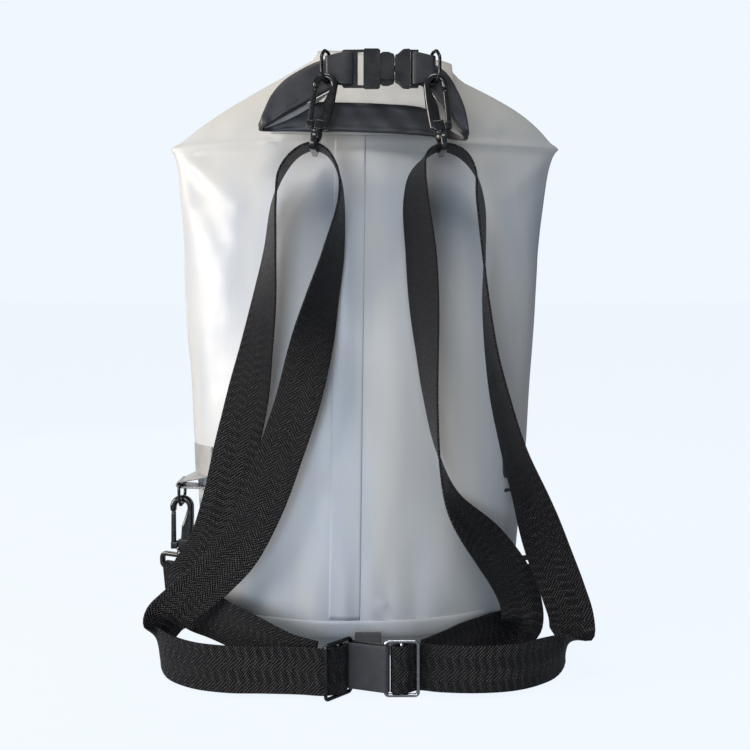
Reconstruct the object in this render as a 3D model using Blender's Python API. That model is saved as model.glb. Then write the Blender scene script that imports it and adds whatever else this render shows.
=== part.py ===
# A roll-top dry bag with backpack straps, standing on its base with the strap side facing -Y.
# The film tube tapers in depth to a hip roof, folds over at the crest and ends behind the rolled
# closure, whose arms fold forward and up to a side-release buckle. Snap hooks carry the straps.
# All lengths are in metres, +Z is up and the origin is on the floor under the base.
import math

import bmesh
import bpy
import numpy as np
from mathutils import Matrix, Vector

# Bag
BAG_HEIGHT = 0.5380  # floor to crest
EAR_HALF = 0.178  # half the width across the corners
RIM_HALF_X = 0.142  # half the base's width
RIM_HALF_Y = 0.0875  # half the base's depth
RIM_Z = 0.036  # the film starts here, on the base's shelf
RIM_SHIFT_X = -0.006
CREST_HALF = 0.062
CREST_SHIFT_X = 0.0185
FILM = 0.0012
SLIT = 0.0008  # gap between the two films of the folded mouth
FOLD_R = 0.0045  # bend of the mouth over the crest
ROOF_RISE = 0.0755  # folded corners up to the start of that bend
EAR_HEIGHT = BAG_HEIGHT - FOLD_R - ROOF_RISE  # floor to the folded corners
FOLD_DEG = 157.0
FLAP_LENGTH = 0.077
LIP_HEIGHT = 0.010
LIP = 0.0015
GAP = 0.0003  # between pieces that touch

# Rolled closure
ROLL_WIDTH = 0.0255
ROLL_THICK = 0.0060
ROLL_Y = -0.0508
ARM_Y = -0.0638
TIP_HALF = 0.0900

# Webbing and its sliders
WEB = 0.038
WEB_THICK = 0.0017
SLIDER_W = 0.029
SLIDER_H = 0.0462
SLIDER_WIRE = 0.0030
SLIDER_Y = -0.131
SLIDER_LEFT_X = -0.0205
SLIDER_RIGHT_X = 0.0301
SLIDER_LEFT_DEG = 42.0

# Buckle, tabs and rings at the top
BUCKLE_Y = -0.0722
BUCKLE_DROP = 0.0235  # crest down to the buckle
BUCKLE_Z = BAG_HEIGHT - BUCKLE_DROP
BUCKLE_THICK = 0.0090
LADDER_THICK = 0.0036
BAR_HALF = 0.0022  # ladder bar, half its width
PRONG_ROOT_X = 0.0250  # where a release prong bends
PRONG_ROOT_Z = 0.0072
TAB_THICK = 0.0014
TAB_HALF_RING = 0.0110
TAB_HALF_BUCKLE = 0.0138
RING_R = 0.0014  # ring wire
RING_HALF = 0.0132
RING_DEPTH = 0.0165
LEFT_RING_X = -0.0300
RIGHT_RING_X = 0.0575
LEFT_BAR_X = -0.0170
RIGHT_BAR_X = 0.0440

# Snap hook
HOOK_IN = 0.0052  # inside radius of the head
HOOK_BAR = 0.0052
HOOK_THICK = 0.0052
HEAD_Z = 0.038  # head's centre above the base of the hook
BASE_H = 0.0070
POST_R = 0.00245
POST_FIT = 0.0001
PIVOT_X = -0.0076
PIVOT_Z = 0.0038
PIN_R = 0.0011
EYE_DROP = 0.018  # hook's base down to the middle of the eye's lower bar
EYE_SLOT = WEB + 0.0014
EYE_WIRE = 0.0040
RING_GRIP = 0.0076  # ring's bar to where a hook hangs on its bow
LEFT_TILT_DEG = 10.0
RIGHT_TILT_DEG = -6.0

# Side hooks, hung from rings on the bag's flanks
SIDE_RING_Z = 0.152
SIDE_RING_HALF = 0.0132
SIDE_RING_DEPTH = 0.0195
LEFT_STAND_OFF = 0.0235  # side ring bars, out from the base's ends
RIGHT_STAND_OFF = 0.0140
LEFT_SIDE = (-RIM_HALF_X - LEFT_STAND_OFF, -0.0320)
RIGHT_SIDE = (RIM_HALF_X + RIGHT_STAND_OFF, -0.0360)
LAID_HEIGHT = 0.5380  # the bag on which the stations of straps and roll were laid out
LAID_HALF_X = 0.142
SIDE_LOOP = 0.0200  # eye's bar down to the loop's seam
SIDE_EYE_DEG = 24.0  # the eye's bar, turned from X towards the strap side at its outer end

for old in list(bpy.data.objects):
    bpy.data.objects.remove(old, do_unlink=True)

INK = (0.012, 0.012, 0.014)
COLOURS = {
    "film": ((0.82, 0.85, 0.88), 0.35, 0.0),
    "pvc": ((0.055, 0.058, 0.068), 0.45, 0.0),
    "webbing": ((0.02, 0.02, 0.022), 0.7, 0.0),
    "plastic": (INK, 0.35, 0.0),
    "wire": ((0.05, 0.05, 0.055), 0.25, 1.0),
    "patch": ((0.62, 0.65, 0.68), 0.4, 0.0),
}


def material_for(name, kind):
    colour, rough, metal = COLOURS[kind]
    made = bpy.data.materials.new(name)
    made.use_nodes = True
    shader = made.node_tree.nodes["Principled BSDF"]
    shader.inputs["Base Color"].default_value = (*colour, 1.0)
    shader.inputs["Roughness"].default_value = rough
    shader.inputs["Metallic"].default_value = metal
    return made


# Makes one object. Its origin goes to the pivot, a point on its joint's axis, before it is placed.
def add(name, verts, faces, kind, matrix=None, pivot=(0.0, 0.0, 0.0)):
    mesh = bpy.data.meshes.new(name)
    verts = np.asarray(verts, float) - np.asarray(pivot, float)
    mesh.from_pydata(verts.tolist(), [], [list(map(int, f)) for f in faces])
    work = bmesh.new()
    work.from_mesh(mesh)
    bmesh.ops.recalc_face_normals(work, faces=work.faces)
    if work.calc_volume(signed=True) < 0:
        bmesh.ops.reverse_faces(work, faces=work.faces)
    work.to_mesh(mesh)
    work.free()
    mesh.shade_smooth()
    mesh.set_sharp_from_angle(angle=math.radians(35))
    made = bpy.data.objects.new(name, mesh)
    made.matrix_world = (matrix or Matrix.Identity(4)) @ Matrix.Translation(Vector(pivot))
    bpy.context.scene.collection.objects.link(made)
    made.data.materials.append(material_for(name, kind))
    return made


# A stack of rings joined by quads. A closed stack returns to its first ring, an open one is capped.
def stack(rings, closed=False):
    rings = [np.asarray(r, float) for r in rings]
    count = len(rings[0])
    verts = np.concatenate(rings)
    faces = []
    last = len(rings) if closed else len(rings) - 1
    for i in range(last):
        a, b = i * count, ((i + 1) % len(rings)) * count
        for k in range(count):
            m = (k + 1) % count
            faces.append([a + k, a + m, b + m, b + k])
    if not closed:
        faces.append(list(range(count))[::-1])
        faces.append([(len(rings) - 1) * count + k for k in range(count)])
    return verts, faces


def unit(v):
    v = np.asarray(v, float)
    return v / np.linalg.norm(v)


# Catmull-Rom through rows of numbers, spaced by the chord between their first three columns.
def smooth(rows, step):
    rows = np.asarray(rows, float)
    chord = np.maximum(np.linalg.norm(np.diff(rows[:, :3], axis=0), axis=1), 1e-6)
    s = np.concatenate([[0.0], np.cumsum(np.sqrt(chord))])
    slope = np.zeros_like(rows)
    for i in range(len(rows)):
        lo, hi = max(i - 1, 0), min(i + 1, len(rows) - 1)
        if 0 < i < len(rows) - 1:
            h0, h1 = s[i] - s[i - 1], s[i + 1] - s[i]
            d0 = (rows[i] - rows[i - 1]) / h0
            d1 = (rows[i + 1] - rows[i]) / h1
            slope[i] = (d0 * h1 + d1 * h0) / (h0 + h1)
        else:
            slope[i] = (rows[hi] - rows[lo]) / (s[hi] - s[lo])
    out = []
    for i in range(len(rows) - 1):
        h = s[i + 1] - s[i]
        n = max(2, int(math.ceil(chord[i] / step)))
        for t in np.arange(n) / n:
            a = (2 * t**3 - 3 * t**2 + 1) * rows[i] + (t**3 - 2 * t**2 + t) * h * slope[i]
            b = (-2 * t**3 + 3 * t**2) * rows[i + 1] + (t**3 - t**2) * h * slope[i + 1]
            out.append(a + b)
    out.append(rows[-1])
    return np.array(out)


# Rings along a path: each section point (u, v) goes u along the width and v along the normal.
def swept(points, widths, section, closed=False):
    points = np.asarray(points, float)
    rings = []
    for i, p in enumerate(points):
        if closed:
            t = unit(points[(i + 1) % len(points)] - points[i - 1])
        else:
            t = unit(points[min(i + 1, len(points) - 1)] - points[max(i - 1, 0)])
        w = np.asarray(widths[i], float)
        w = unit(w - t * w.dot(t))
        n = np.cross(t, w)
        rings.append([p + u * w + v * n for u, v in section])
    return stack(rings, closed)


def rectangle(wide, thick, corner=0.0):
    a, b, c = wide / 2, thick / 2, corner
    if not c:
        return [(-a, -b), (a, -b), (a, b), (-a, b)]
    out = []
    for sx, sy, start in ((1, -1, 270), (1, 1, 0), (-1, 1, 90), (-1, -1, 180)):
        for k in (0, 45, 90):
            q = math.radians(start + k)
            out.append((sx * (a - c) + c * math.cos(q), sy * (b - c) + c * math.sin(q)))
    return out


def circle(radius, sides):
    return [
        (radius * math.cos(2 * math.pi * k / sides), radius * math.sin(2 * math.pi * k / sides))
        for k in range(sides)
    ]


# A closed polygon whose corners are rounded: each corner is (x, y, radius).
def rounded(corners, steps=4):
    out = []
    for i, (x, y, r) in enumerate(corners):
        p = np.array([x, y])
        a = np.array(corners[i - 1][:2]) - p
        b = np.array(corners[(i + 1) % len(corners)][:2]) - p
        la, lb = np.linalg.norm(a), np.linalg.norm(b)
        a, b = a / la, b / lb
        half = math.acos(max(-1.0, min(1.0, float(a.dot(b))))) / 2
        if r <= 0 or half > math.radians(88):
            out.append(tuple(p))
            continue
        back = min(r / math.tan(half), 0.49 * la, 0.49 * lb)
        r = back * math.tan(half)
        mid = p + unit(a + b) * (r / math.sin(half))
        start, end = p + a * back - mid, p + b * back - mid
        turn = math.atan2(start[0] * end[1] - start[1] * end[0], start.dot(end))
        for k in range(steps + 1):
            q = turn * k / steps
            out.append(
                (
                    mid[0] + start[0] * math.cos(q) - start[1] * math.sin(q),
                    mid[1] + start[0] * math.sin(q) + start[1] * math.cos(q),
                )
            )
    return out


# A polygon in X and Z, given depth along Y.
def plate(outline, y_lo, y_hi):
    lo = [(x, y_lo, z) for x, z in outline]
    hi = [(x, y_hi, z) for x, z in outline]
    return stack([lo, hi])


def block(x, y, z):
    return plate([(x[0], z[0]), (x[1], z[0]), (x[1], z[1]), (x[0], z[1])], y[0], y[1])


def cylinder(start, end, radius, sides=20):
    start, end = np.asarray(start, float), np.asarray(end, float)
    axis = unit(end - start)
    side = unit(np.cross(axis, [0.0, 1.0, 0.0] if abs(axis[1]) < 0.9 else [1.0, 0.0, 0.0]))
    return swept([start, end], [side, side], circle(radius, sides))


# Joins and cuts solids exactly, and gives back the vertices and faces.
def combine(first, joined=(), removed=()):
    base = add("work", *first, "plastic")
    tools = []
    for solids, operation in ((joined, "UNION"), (removed, "DIFFERENCE")):
        for solid in solids:
            tool = add("tool", *solid, "plastic")
            tool.hide_render = True
            tools.append(tool)
            step = base.modifiers.new("step", "BOOLEAN")
            step.operation = operation
            step.object = tool
            step.solver = "EXACT"
    graph = bpy.context.evaluated_depsgraph_get()
    result = base.evaluated_get(graph).to_mesh()
    verts = [tuple(v.co) for v in result.vertices]
    faces = [list(p.vertices) for p in result.polygons]
    base.evaluated_get(graph).to_mesh_clear()
    for tool in [*tools, base]:
        bpy.data.objects.remove(tool, do_unlink=True)
    return verts, faces


# The bag's sections: height, half width, half depth, roundness and shift along X.
WALL = [
    (0.00, RIM_HALF_X, RIM_HALF_Y, 2.2),
    (0.06, RIM_HALF_X + 0.0035, RIM_HALF_Y - 0.0005, 2.2),
    (0.15, RIM_HALF_X + 0.0070, RIM_HALF_Y - 0.0030, 2.2),
    (0.28, RIM_HALF_X + 0.0108, RIM_HALF_Y - 0.0070, 2.15),
    (0.42, RIM_HALF_X + 0.0148, RIM_HALF_Y - 0.0115, 2.1),
    (0.56, RIM_HALF_X + 0.0180, RIM_HALF_Y - 0.0165, 2.05),
    (0.70, EAR_HALF - 0.0155, RIM_HALF_Y - 0.0235, 2.0),
    (0.82, EAR_HALF - 0.0115, RIM_HALF_Y - 0.0315, 1.9),
    (0.91, EAR_HALF - 0.0070, RIM_HALF_Y - 0.0395, 1.65),
    (0.97, EAR_HALF - 0.0025, RIM_HALF_Y - 0.0465, 1.4),
    (1.00, EAR_HALF, RIM_HALF_Y - 0.0505, 1.3),
]
ROOF = [
    (0.22, 0.86, 0.84, 1.35),
    (0.48, 0.64, 0.60, 1.45),
    (0.74, 0.34, 0.32, 1.6),
    (0.90, 0.13, 0.12, 1.8),
    (1.00, 0.00, 0.00, 2.0),
]
SLIT_HALF = FILM + SLIT / 2


def bag_sections():
    rows = []
    for part, half_x, half_y, power in WALL:
        z = RIM_Z + (EAR_HEIGHT - RIM_Z) * part
        rows.append((z, half_x, half_y, power, RIM_SHIFT_X * (1 - part)))
    for part, wide, deep, power in ROOF:
        rows.append(
            (
                EAR_HEIGHT + ROOF_RISE * part,
                CREST_HALF + (EAR_HALF - CREST_HALF) * wide,
                SLIT_HALF + (RIM_HALF_Y - 0.0505 - SLIT_HALF) * deep,
                power,
                CREST_SHIFT_X * part,
            )
        )
    return rows


SECTIONS = bag_sections()
AROUND = 56


def bag_size(z):
    table = np.array(SECTIONS)
    return [float(np.interp(z, table[:, 0], table[:, i])) for i in range(1, 5)]


# One ring of the film: a superellipse, tilted by an angle about X once it folds over the crest.
def film_ring(centre, half_x, half_y, power, tilt=0.0, grow=0.0, turn=0.0):
    angles = np.arange(AROUND) / AROUND * 2 * np.pi + turn
    c, s = np.cos(angles), np.sin(angles)
    x = (half_x + grow) * np.sign(c) * np.abs(c) ** (2 / power)
    y = (half_y + grow) * np.sign(s) * np.abs(s) ** (2 / power)
    return np.stack(
        [centre[0] + x, centre[1] + y * math.cos(tilt), centre[2] + y * math.sin(tilt)], axis=1
    )


def wall_ring(z, grow=0.0, scale=1.0, height=None):
    half_x, half_y, power, shift = bag_size(z)
    return film_ring(
        (shift, 0.0, z if height is None else height), half_x * scale, half_y * scale, power, 0.0, grow
    )


# The crest leans a little towards the strap side as it closes.
def lean(z):
    return -0.005 * max(0.0, (z - EAR_HEIGHT) / ROOF_RISE)


def bag_body():
    outer, inner = [], []
    for z, half_x, half_y, power, shift in SECTIONS:
        centre = (shift, lean(z), z)
        inside = max(half_y - FILM, SLIT / 2)
        outer.append(film_ring(centre, half_x, half_y, power))
        inner.append(film_ring(centre, half_x - FILM, inside, power))
    turn_y, turn_z = lean(SECTIONS[-1][0]) - FOLD_R, SECTIONS[-1][0]
    steps = 6
    for k in range(1, steps + 1):
        q = math.radians(FOLD_DEG) * k / steps
        centre = (CREST_SHIFT_X, turn_y + FOLD_R * math.cos(q), turn_z + FOLD_R * math.sin(q))
        outer.append(film_ring(centre, CREST_HALF, SLIT_HALF, 2.0, q))
        inner.append(film_ring(centre, CREST_HALF - FILM, SLIT / 2, 2.0, q))
    q = math.radians(FOLD_DEG)
    for k in (1, 2, 3):
        run = FLAP_LENGTH * k / 3
        centre = (
            CREST_SHIFT_X * (1 - k / 3),
            turn_y + FOLD_R * math.cos(q) - run * math.sin(q),
            turn_z + FOLD_R * math.sin(q) + run * math.cos(q),
        )
        half = CREST_HALF + 0.022 * k / 3
        outer.append(film_ring(centre, half, SLIT_HALF, 2.0, q))
        inner.append(film_ring(centre, half - FILM, SLIT / 2, 2.0, q))
    return stack(outer + inner[::-1], closed=True)


# The base: flat where it stands, domed up to a shelf the film sits on, with a lip welded round it.
def base_disc():
    dome = [(0.50, 0.0), (0.64, 0.0022), (0.78, 0.0085), (0.90, 0.0175), (0.97, 0.0262)]
    thick = 0.0016
    rings = [wall_ring(RIM_Z, 0.0, s, z) for s, z in dome]
    rings.append(wall_ring(RIM_Z, GAP + LIP, 1.0, RIM_Z - 0.0032))
    top = RIM_Z + LIP_HEIGHT
    rings.append(wall_ring(top, GAP + LIP))
    rings.append(wall_ring(top, GAP))
    rings.append(wall_ring(RIM_Z, GAP, 1.0, RIM_Z - GAP))
    rings.append(wall_ring(RIM_Z, -0.0030, 1.0, RIM_Z - GAP))
    rings.append(wall_ring(RIM_Z, -0.0042, 1.0, RIM_Z - 0.0040))
    rings += [wall_ring(RIM_Z, -0.0012, s, z + thick) for s, z in dome[::-1][1:]]
    return stack(rings)


# The rolled closure: one thick band, level across the middle, folded forward at each tip.
# Stations follow the bag: up high they keep their distance from the crest, out at the sides theirs
# from the wall, and near the sliders they stay where they are.
def laid(rows):
    up, out = BAG_HEIGHT - LAID_HEIGHT, RIM_HALF_X - LAID_HALF_X
    moved = []
    for x, y, z, *rest in rows:
        high = min(max((z - 0.10) / 0.30, 0.0), 1.0)
        wide = min(max((abs(x) - 0.05) / 0.07, 0.0), 1.0) * min(max((0.40 - z) / 0.10, 0.0), 1.0)
        moved.append((x + math.copysign(out * wide, x), y, z + up * high, *rest))
    return moved


def closure_roll():
    left, right, mid, arm = -TIP_HALF - 0.001, TIP_HALF - 0.002, ROLL_Y, ARM_Y
    turn = (mid + arm) / 2
    rows = [
        (-0.0150, arm, 0.5160, 0.0, 0, 1.0),
        (-0.0340, arm, 0.5115, -0.25, 0, 0.97),
        (-0.0520, arm, 0.5010, -0.50, 0, 0.87),
        (-0.0700, arm, 0.4890, -0.55, 0, 0.83),
        (left + 0.0075, arm + 0.0012, 0.4795, -0.45, 0, 0.90),
        (left, turn, 0.4765, -0.2, 0, 0.98),
        (left + 0.0075, mid - 0.0012, 0.4770, 0.0, 0, 1.0),
        (left + 0.0300, mid, 0.4785, 0.0, 0, 1.0),
        (0.0000, mid, 0.4770, 0.02, 0, 1.0),
        (right - 0.0300, mid, 0.4735, 0.05, 0, 1.0),
        (right - 0.0075, mid - 0.0012, 0.4722, 0.05, 0, 1.0),
        (right, turn, 0.4722, 0.3, 0, 0.95),
        (right - 0.0045, arm + 0.0012, 0.4760, 0.62, 0, 0.78),
        (right - 0.0135, arm, 0.4885, 0.80, 0, 0.60),
        (right - 0.0240, arm, 0.5030, 0.62, 0, 0.78),
        (right - 0.0370, arm, 0.5145, 0.25, 0, 0.97),
    ]
    path = smooth(laid(rows), 0.004)
    return swept(path[:, :3], path[:, 3:], rectangle(ROLL_WIDTH, ROLL_THICK, 0.0022))


# A strip looped round two upright bars. Its height changes evenly from one bar to the other.
def looped_tab(x_a, y_a, r_a, half_a, x_b, y_b, r_b, half_b, z, thick):
    a, b = np.array([x_a, y_a]), np.array([x_b, y_b])
    run = unit(b - a)
    base = math.atan2(run[1], run[0])
    lean_in = math.asin((r_a - r_b) / np.linalg.norm(b - a))
    spots = []
    for centre, r, half, start in ((a, r_a, half_a, 1), (b, r_b, half_b, 0)):
        lo = base + (math.pi / 2 - lean_in if start else -math.pi / 2 + lean_in)
        sweep = math.pi + 2 * lean_in if start else math.pi - 2 * lean_in
        for k in range(9):
            q = lo + sweep * k / 8
            spots.append((centre, r, half, np.array([math.cos(q), math.sin(q)])))
    rings = []
    for centre, r, half, out in spots:
        near, far = centre + out * (r - thick / 2), centre + out * (r + thick / 2)
        rings.append(
            [
                (near[0], near[1], z - half),
                (far[0], far[1], z - half),
                (far[0], far[1], z + half),
                (near[0], near[1], z + half),
            ]
        )
    return stack(rings, closed=True)


# A wire ring with one straight side through its origin along Z and a bow out along +X.
def d_ring(half, depth):
    outline = rounded(
        [
            (0, -half, 0.0032),
            (depth * 0.62, -half, 0.0055),
            (depth, -half * 0.50, 0.0055),
            (depth, half * 0.50, 0.0055),
            (depth * 0.62, half, 0.0055),
            (0, half, 0.0032),
        ]
    )
    points = [(x, 0.0, z) for x, z in outline]
    return swept(points, [(0, 1, 0)] * len(points), circle(RING_R, 8), closed=True)


def placed(origin, turn_z=0.0, tilt_y=0.0, flip=False):
    matrix = Matrix.Translation(Vector(origin)) @ Matrix.Rotation(tilt_y, 4, "Y")
    matrix = matrix @ Matrix.Rotation(turn_z, 4, "Z")
    if flip:
        matrix = matrix @ Matrix.Rotation(math.pi, 4, "Z")
    return matrix


# The hook's body lies in XZ: base block with a fork for the gate, spine at +X, head and nose.
def hook_body():
    out = HOOK_IN + HOOK_BAR
    outline = [(-out, 0.0018), (-out + 0.002, 0.0), (out - 0.002, 0.0), (out, 0.0018)]
    outline += [
        (out * math.cos(q), HEAD_Z + out * math.sin(q)) for q in np.linspace(0, math.pi, 13)
    ]
    outline += [(-out, HEAD_Z - 0.0035), (-HOOK_IN - 0.0006, HEAD_Z - 0.0035)]
    outline += [
        (-HOOK_IN * math.cos(q), HEAD_Z + HOOK_IN * math.sin(q))
        for q in np.linspace(0.15, math.pi, 10)
    ]
    outline += [(HOOK_IN, BASE_H + 0.003), (HOOK_IN - 0.0016, BASE_H), (-out, BASE_H)]
    half = HOOK_THICK / 2
    body = plate(outline, -half, half)
    cheeks = block((-out, out - 0.001), (-half - 0.0009, half + 0.0009), (0.0004, BASE_H - 0.0005))
    pocket = block((-out - 0.001, -0.0043), (-0.0018, 0.0018), (0.0006, BASE_H + 0.001))
    post = cylinder((0, 0, -0.001), (0, 0, BASE_H + 0.001), POST_R + POST_FIT)
    pin = cylinder((PIVOT_X, -0.006, PIVOT_Z), (PIVOT_X, 0.006, PIVOT_Z), PIN_R + 0.00008, 16)
    return combine(body, [cheeks], [pocket, post, pin])


# The gate: a knuckle in the fork and a bar up to just short of the nose.
def hook_gate():
    top = HEAD_Z - 0.0035 - 0.0005
    bar = rounded(
        [
            (PIVOT_X - 0.0021, PIVOT_Z, 0),
            (PIVOT_X + 0.0019, PIVOT_Z, 0),
            (PIVOT_X + 0.0019, top, 0.0012),
            (PIVOT_X - 0.0021, top, 0.0012),
        ],
        2,
    )
    knuckle = cylinder((PIVOT_X, -0.0015, PIVOT_Z), (PIVOT_X, 0.0015, PIVOT_Z), 0.0027, 18)
    bore = cylinder((PIVOT_X, -0.004, PIVOT_Z), (PIVOT_X, 0.004, PIVOT_Z), PIN_R + 0.00008, 16)
    return combine(plate(bar, -0.0015, 0.0015), [knuckle], [bore])


def gate_pin():
    y = HOOK_THICK / 2 + 0.0007
    return cylinder((PIVOT_X, -y, PIVOT_Z), (PIVOT_X, y, PIVOT_Z), PIN_R, 16)


# The swivel: a headed post through the hook's base and a slot for the webbing below, across Y.
def swivel_eye():
    half_y = EYE_SLOT / 2 + EYE_WIRE / 2
    top = -0.0064
    outline = rounded(
        [(-half_y, top, 0.004), (half_y, top, 0.004), (half_y, -EYE_DROP, 0.004), (-half_y, -EYE_DROP, 0.004)]
    )
    points = [(0.0, y, z) for y, z in outline]
    ring = swept(points, [(1, 0, 0)] * len(points), rectangle(0.0050, EYE_WIRE, 0.001), closed=True)
    flange = cylinder((0, 0, top - 0.001), (0, 0, -GAP), 0.0045)
    post = cylinder((0, 0, -0.002), (0, 0, BASE_H + 0.0010), POST_R)
    head = cylinder((0, 0, BASE_H + GAP), (0, 0, BASE_H + 0.0018), 0.0033)
    return combine(ring, [flange, post, head])


# Side-release buckle: the female half with two ladder bars at its left end.
def buckle_female():
    half_t, lad = BUCKLE_THICK / 2, LADDER_THICK / 2
    y, z = BUCKLE_Y, BUCKLE_Z
    outline = [
        (LEFT_BAR_X - BAR_HALF, -0.0158, 0.002),
        (0.0118, -0.0162, 0.001),
        (0.0136, -0.0150, 0.001),
        (0.0136, 0.0150, 0.001),
        (0.0118, 0.0162, 0.001),
        (LEFT_BAR_X - BAR_HALF, 0.0158, 0.002),
    ]
    ladder = plate([(px, pz + z) for px, pz in rounded(outline, 2)], y - lad, y + lad)
    body = plate(
        [(px, pz + z) for px, pz in rounded(
            [(-0.0004, -0.0162, 0.001), (0.0122, -0.0162, 0.002), (0.0136, -0.0145, 0.001),
             (0.0136, 0.0145, 0.001), (0.0122, 0.0162, 0.002), (-0.0004, 0.0162, 0.001)], 2)],
        y - half_t, y + half_t,
    )
    guide = block((0.012, 0.0256), (y - half_t + 0.0006, y + half_t - 0.0006), (z - 0.0098, z + 0.0098))
    slot = TAB_HALF_BUCKLE + 0.0005
    first = block((LEFT_BAR_X + BAR_HALF, -0.0106), (y - 0.01, y + 0.01), (z - slot, z + slot))
    second = block((-0.0056, -0.0008), (y - 0.01, y + 0.01), (z - slot, z + slot))
    hollow = block((0.0030, 0.030), (y - 0.0029, y + 0.0029), (z - 0.0136, z + 0.0136))
    return combine(ladder, [body, guide], [first, second, hollow])


def buckle_male():
    half_t, lad = BUCKLE_THICK / 2, LADDER_THICK / 2
    y, z = BUCKLE_Y, BUCKLE_Z
    outline = rounded(
        [(0.0262, -0.0110, 0.001), (0.0285, -0.0116, 0.003), (0.0330, -0.0158, 0.003),
         (0.0390, -0.0162, 0.001), (0.0390, 0.0162, 0.001), (0.0330, 0.0158, 0.003),
         (0.0285, 0.0116, 0.003), (0.0262, 0.0110, 0.001)], 2)
    base = plate([(px, pz + z) for px, pz in outline], y - half_t, y + half_t)
    ladder = block((0.038, RIGHT_BAR_X + BAR_HALF), (y - lad, y + lad), (z - 0.0160, z + 0.0160))
    tongue = block((0.0050, 0.028), (y - 0.0025, y + 0.0025), (z - 0.0024, z + 0.0024))
    slot = TAB_HALF_BUCKLE + 0.0005
    cut = block((0.0393, RIGHT_BAR_X - BAR_HALF), (y - 0.01, y + 0.01), (z - slot, z + slot))
    return combine(base, [ladder, tongue], [cut])


# A sprung prong of the male half, with its thumb pad standing out of the female half's side.
def release_prong(side):
    outline = [
        (0.0259, 0.0048), (0.0259, 0.0098), (0.0250, 0.0124), (0.0205, 0.0141), (0.0158, 0.0141),
        (0.0140, 0.0129), (0.0112, 0.0127), (0.0050, 0.0102), (0.0046, 0.0078), (0.0130, 0.0088),
        (0.0180, 0.0074), (0.0225, 0.0048),
    ]
    outline = [(x, BUCKLE_Z + side * z) for x, z in outline]
    return plate(outline, BUCKLE_Y - 0.0025, BUCKLE_Y + 0.0025)


# The webbing slider: a rounded frame with a middle bar, in XZ about its centre.
def slider():
    half_w, half_h, r = SLIDER_W / 2 - SLIDER_WIRE / 2, SLIDER_H / 2 - SLIDER_WIRE / 2, SLIDER_WIRE / 2
    outline = rounded(
        [(sx * half_w, sz * half_h, 0.0022) for sx, sz in ((-1, -1), (1, -1), (1, 1), (-1, 1))], 3
    )
    points = [(x, 0.0, z) for x, z in outline]
    frame = swept(points, [(0, 1, 0)] * len(points), circle(r, 8), closed=True)
    bar = cylinder((0, 0, -half_h), (0, 0, half_h), r * 0.94, 10)
    return combine(frame, [bar])


SLIDER_Z = SLIDER_H / 2 + 0.0004
WEB_Z = SLIDER_Z - 0.0003
AROUND_WIRE = SLIDER_WIRE / 2 + WEB_THICK / 2 + GAP


# The webbing's way through a slider, from the outer bar's back over the middle bar and back behind.
def through_slider(centre, angle, side):
    run = np.array([math.cos(angle), math.sin(angle)]) * side  # towards the outer bar
    back = np.array([-math.sin(angle), math.cos(angle)])
    if back[1] < 0:
        back = -back
    centre = np.asarray(centre, float)
    outer = centre + run * (SLIDER_W / 2 - SLIDER_WIRE / 2)
    tail = centre + run * 0.0105 + back * (AROUND_WIRE + WEB_THICK + 2 * GAP + 0.0012)
    spots = [
        tail,
        centre + run * 0.0045 + back * (AROUND_WIRE + 0.0009),
        centre + back * AROUND_WIRE * 0.98 - run * 0.0004,
        centre - run * AROUND_WIRE,
        centre - back * AROUND_WIRE,
        centre + run * 0.0045 - back * AROUND_WIRE * 0.55,
        outer + back * AROUND_WIRE * 1.35,
    ]
    return [(p[0], p[1], WEB_Z, 0, 0, 1) for p in spots]


def strap(rows, step):
    path = smooth(rows, step)
    return swept(path[:, :3], path[:, 3:], rectangle(WEB, WEB_THICK))


# Where each top hook hangs on its ring, and the hook's turn and tilt.
TOP_WIRE_Z = BUCKLE_Z - RING_HALF
REST_Z = HEAD_Z + HOOK_IN - 0.0010 - RING_R  # ring wire's height in the hook's own frame
LEFT_BOW = unit((-0.35, -0.94))
RIGHT_BOW = unit((0.35, -0.94))
LEFT_TILT = math.radians(LEFT_TILT_DEG)
RIGHT_TILT = math.radians(RIGHT_TILT_DEG)


def hook_origin(wire, tilt):
    return (wire[0] - REST_Z * math.sin(tilt), wire[1], wire[2] - REST_Z * math.cos(tilt))


LEFT_WIRE = (LEFT_RING_X + LEFT_BOW[0] * RING_GRIP, BUCKLE_Y + LEFT_BOW[1] * RING_GRIP, TOP_WIRE_Z)
RIGHT_WIRE = (RIGHT_RING_X + RIGHT_BOW[0] * RING_GRIP, BUCKLE_Y + RIGHT_BOW[1] * RING_GRIP, TOP_WIRE_Z)
LEFT_HOOK = hook_origin(LEFT_WIRE, LEFT_TILT)
RIGHT_HOOK = hook_origin(RIGHT_WIRE, RIGHT_TILT)

def side_hook_origin(spot):
    return (spot[0], spot[1], SIDE_RING_Z - SIDE_RING_DEPTH - REST_Z)


def hook_parts(prefix, matrix, eye_matrix):
    add(prefix + "_hook", *HOOK, "plastic", matrix)
    add(prefix + "_hook_gate", *GATE, "plastic", matrix, (PIVOT_X, 0.0, PIVOT_Z))
    add(prefix + "_hook_gate_pin", *PIN, "wire", matrix)
    add(prefix + "_hook_swivel", *EYE, "plastic", eye_matrix)


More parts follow.
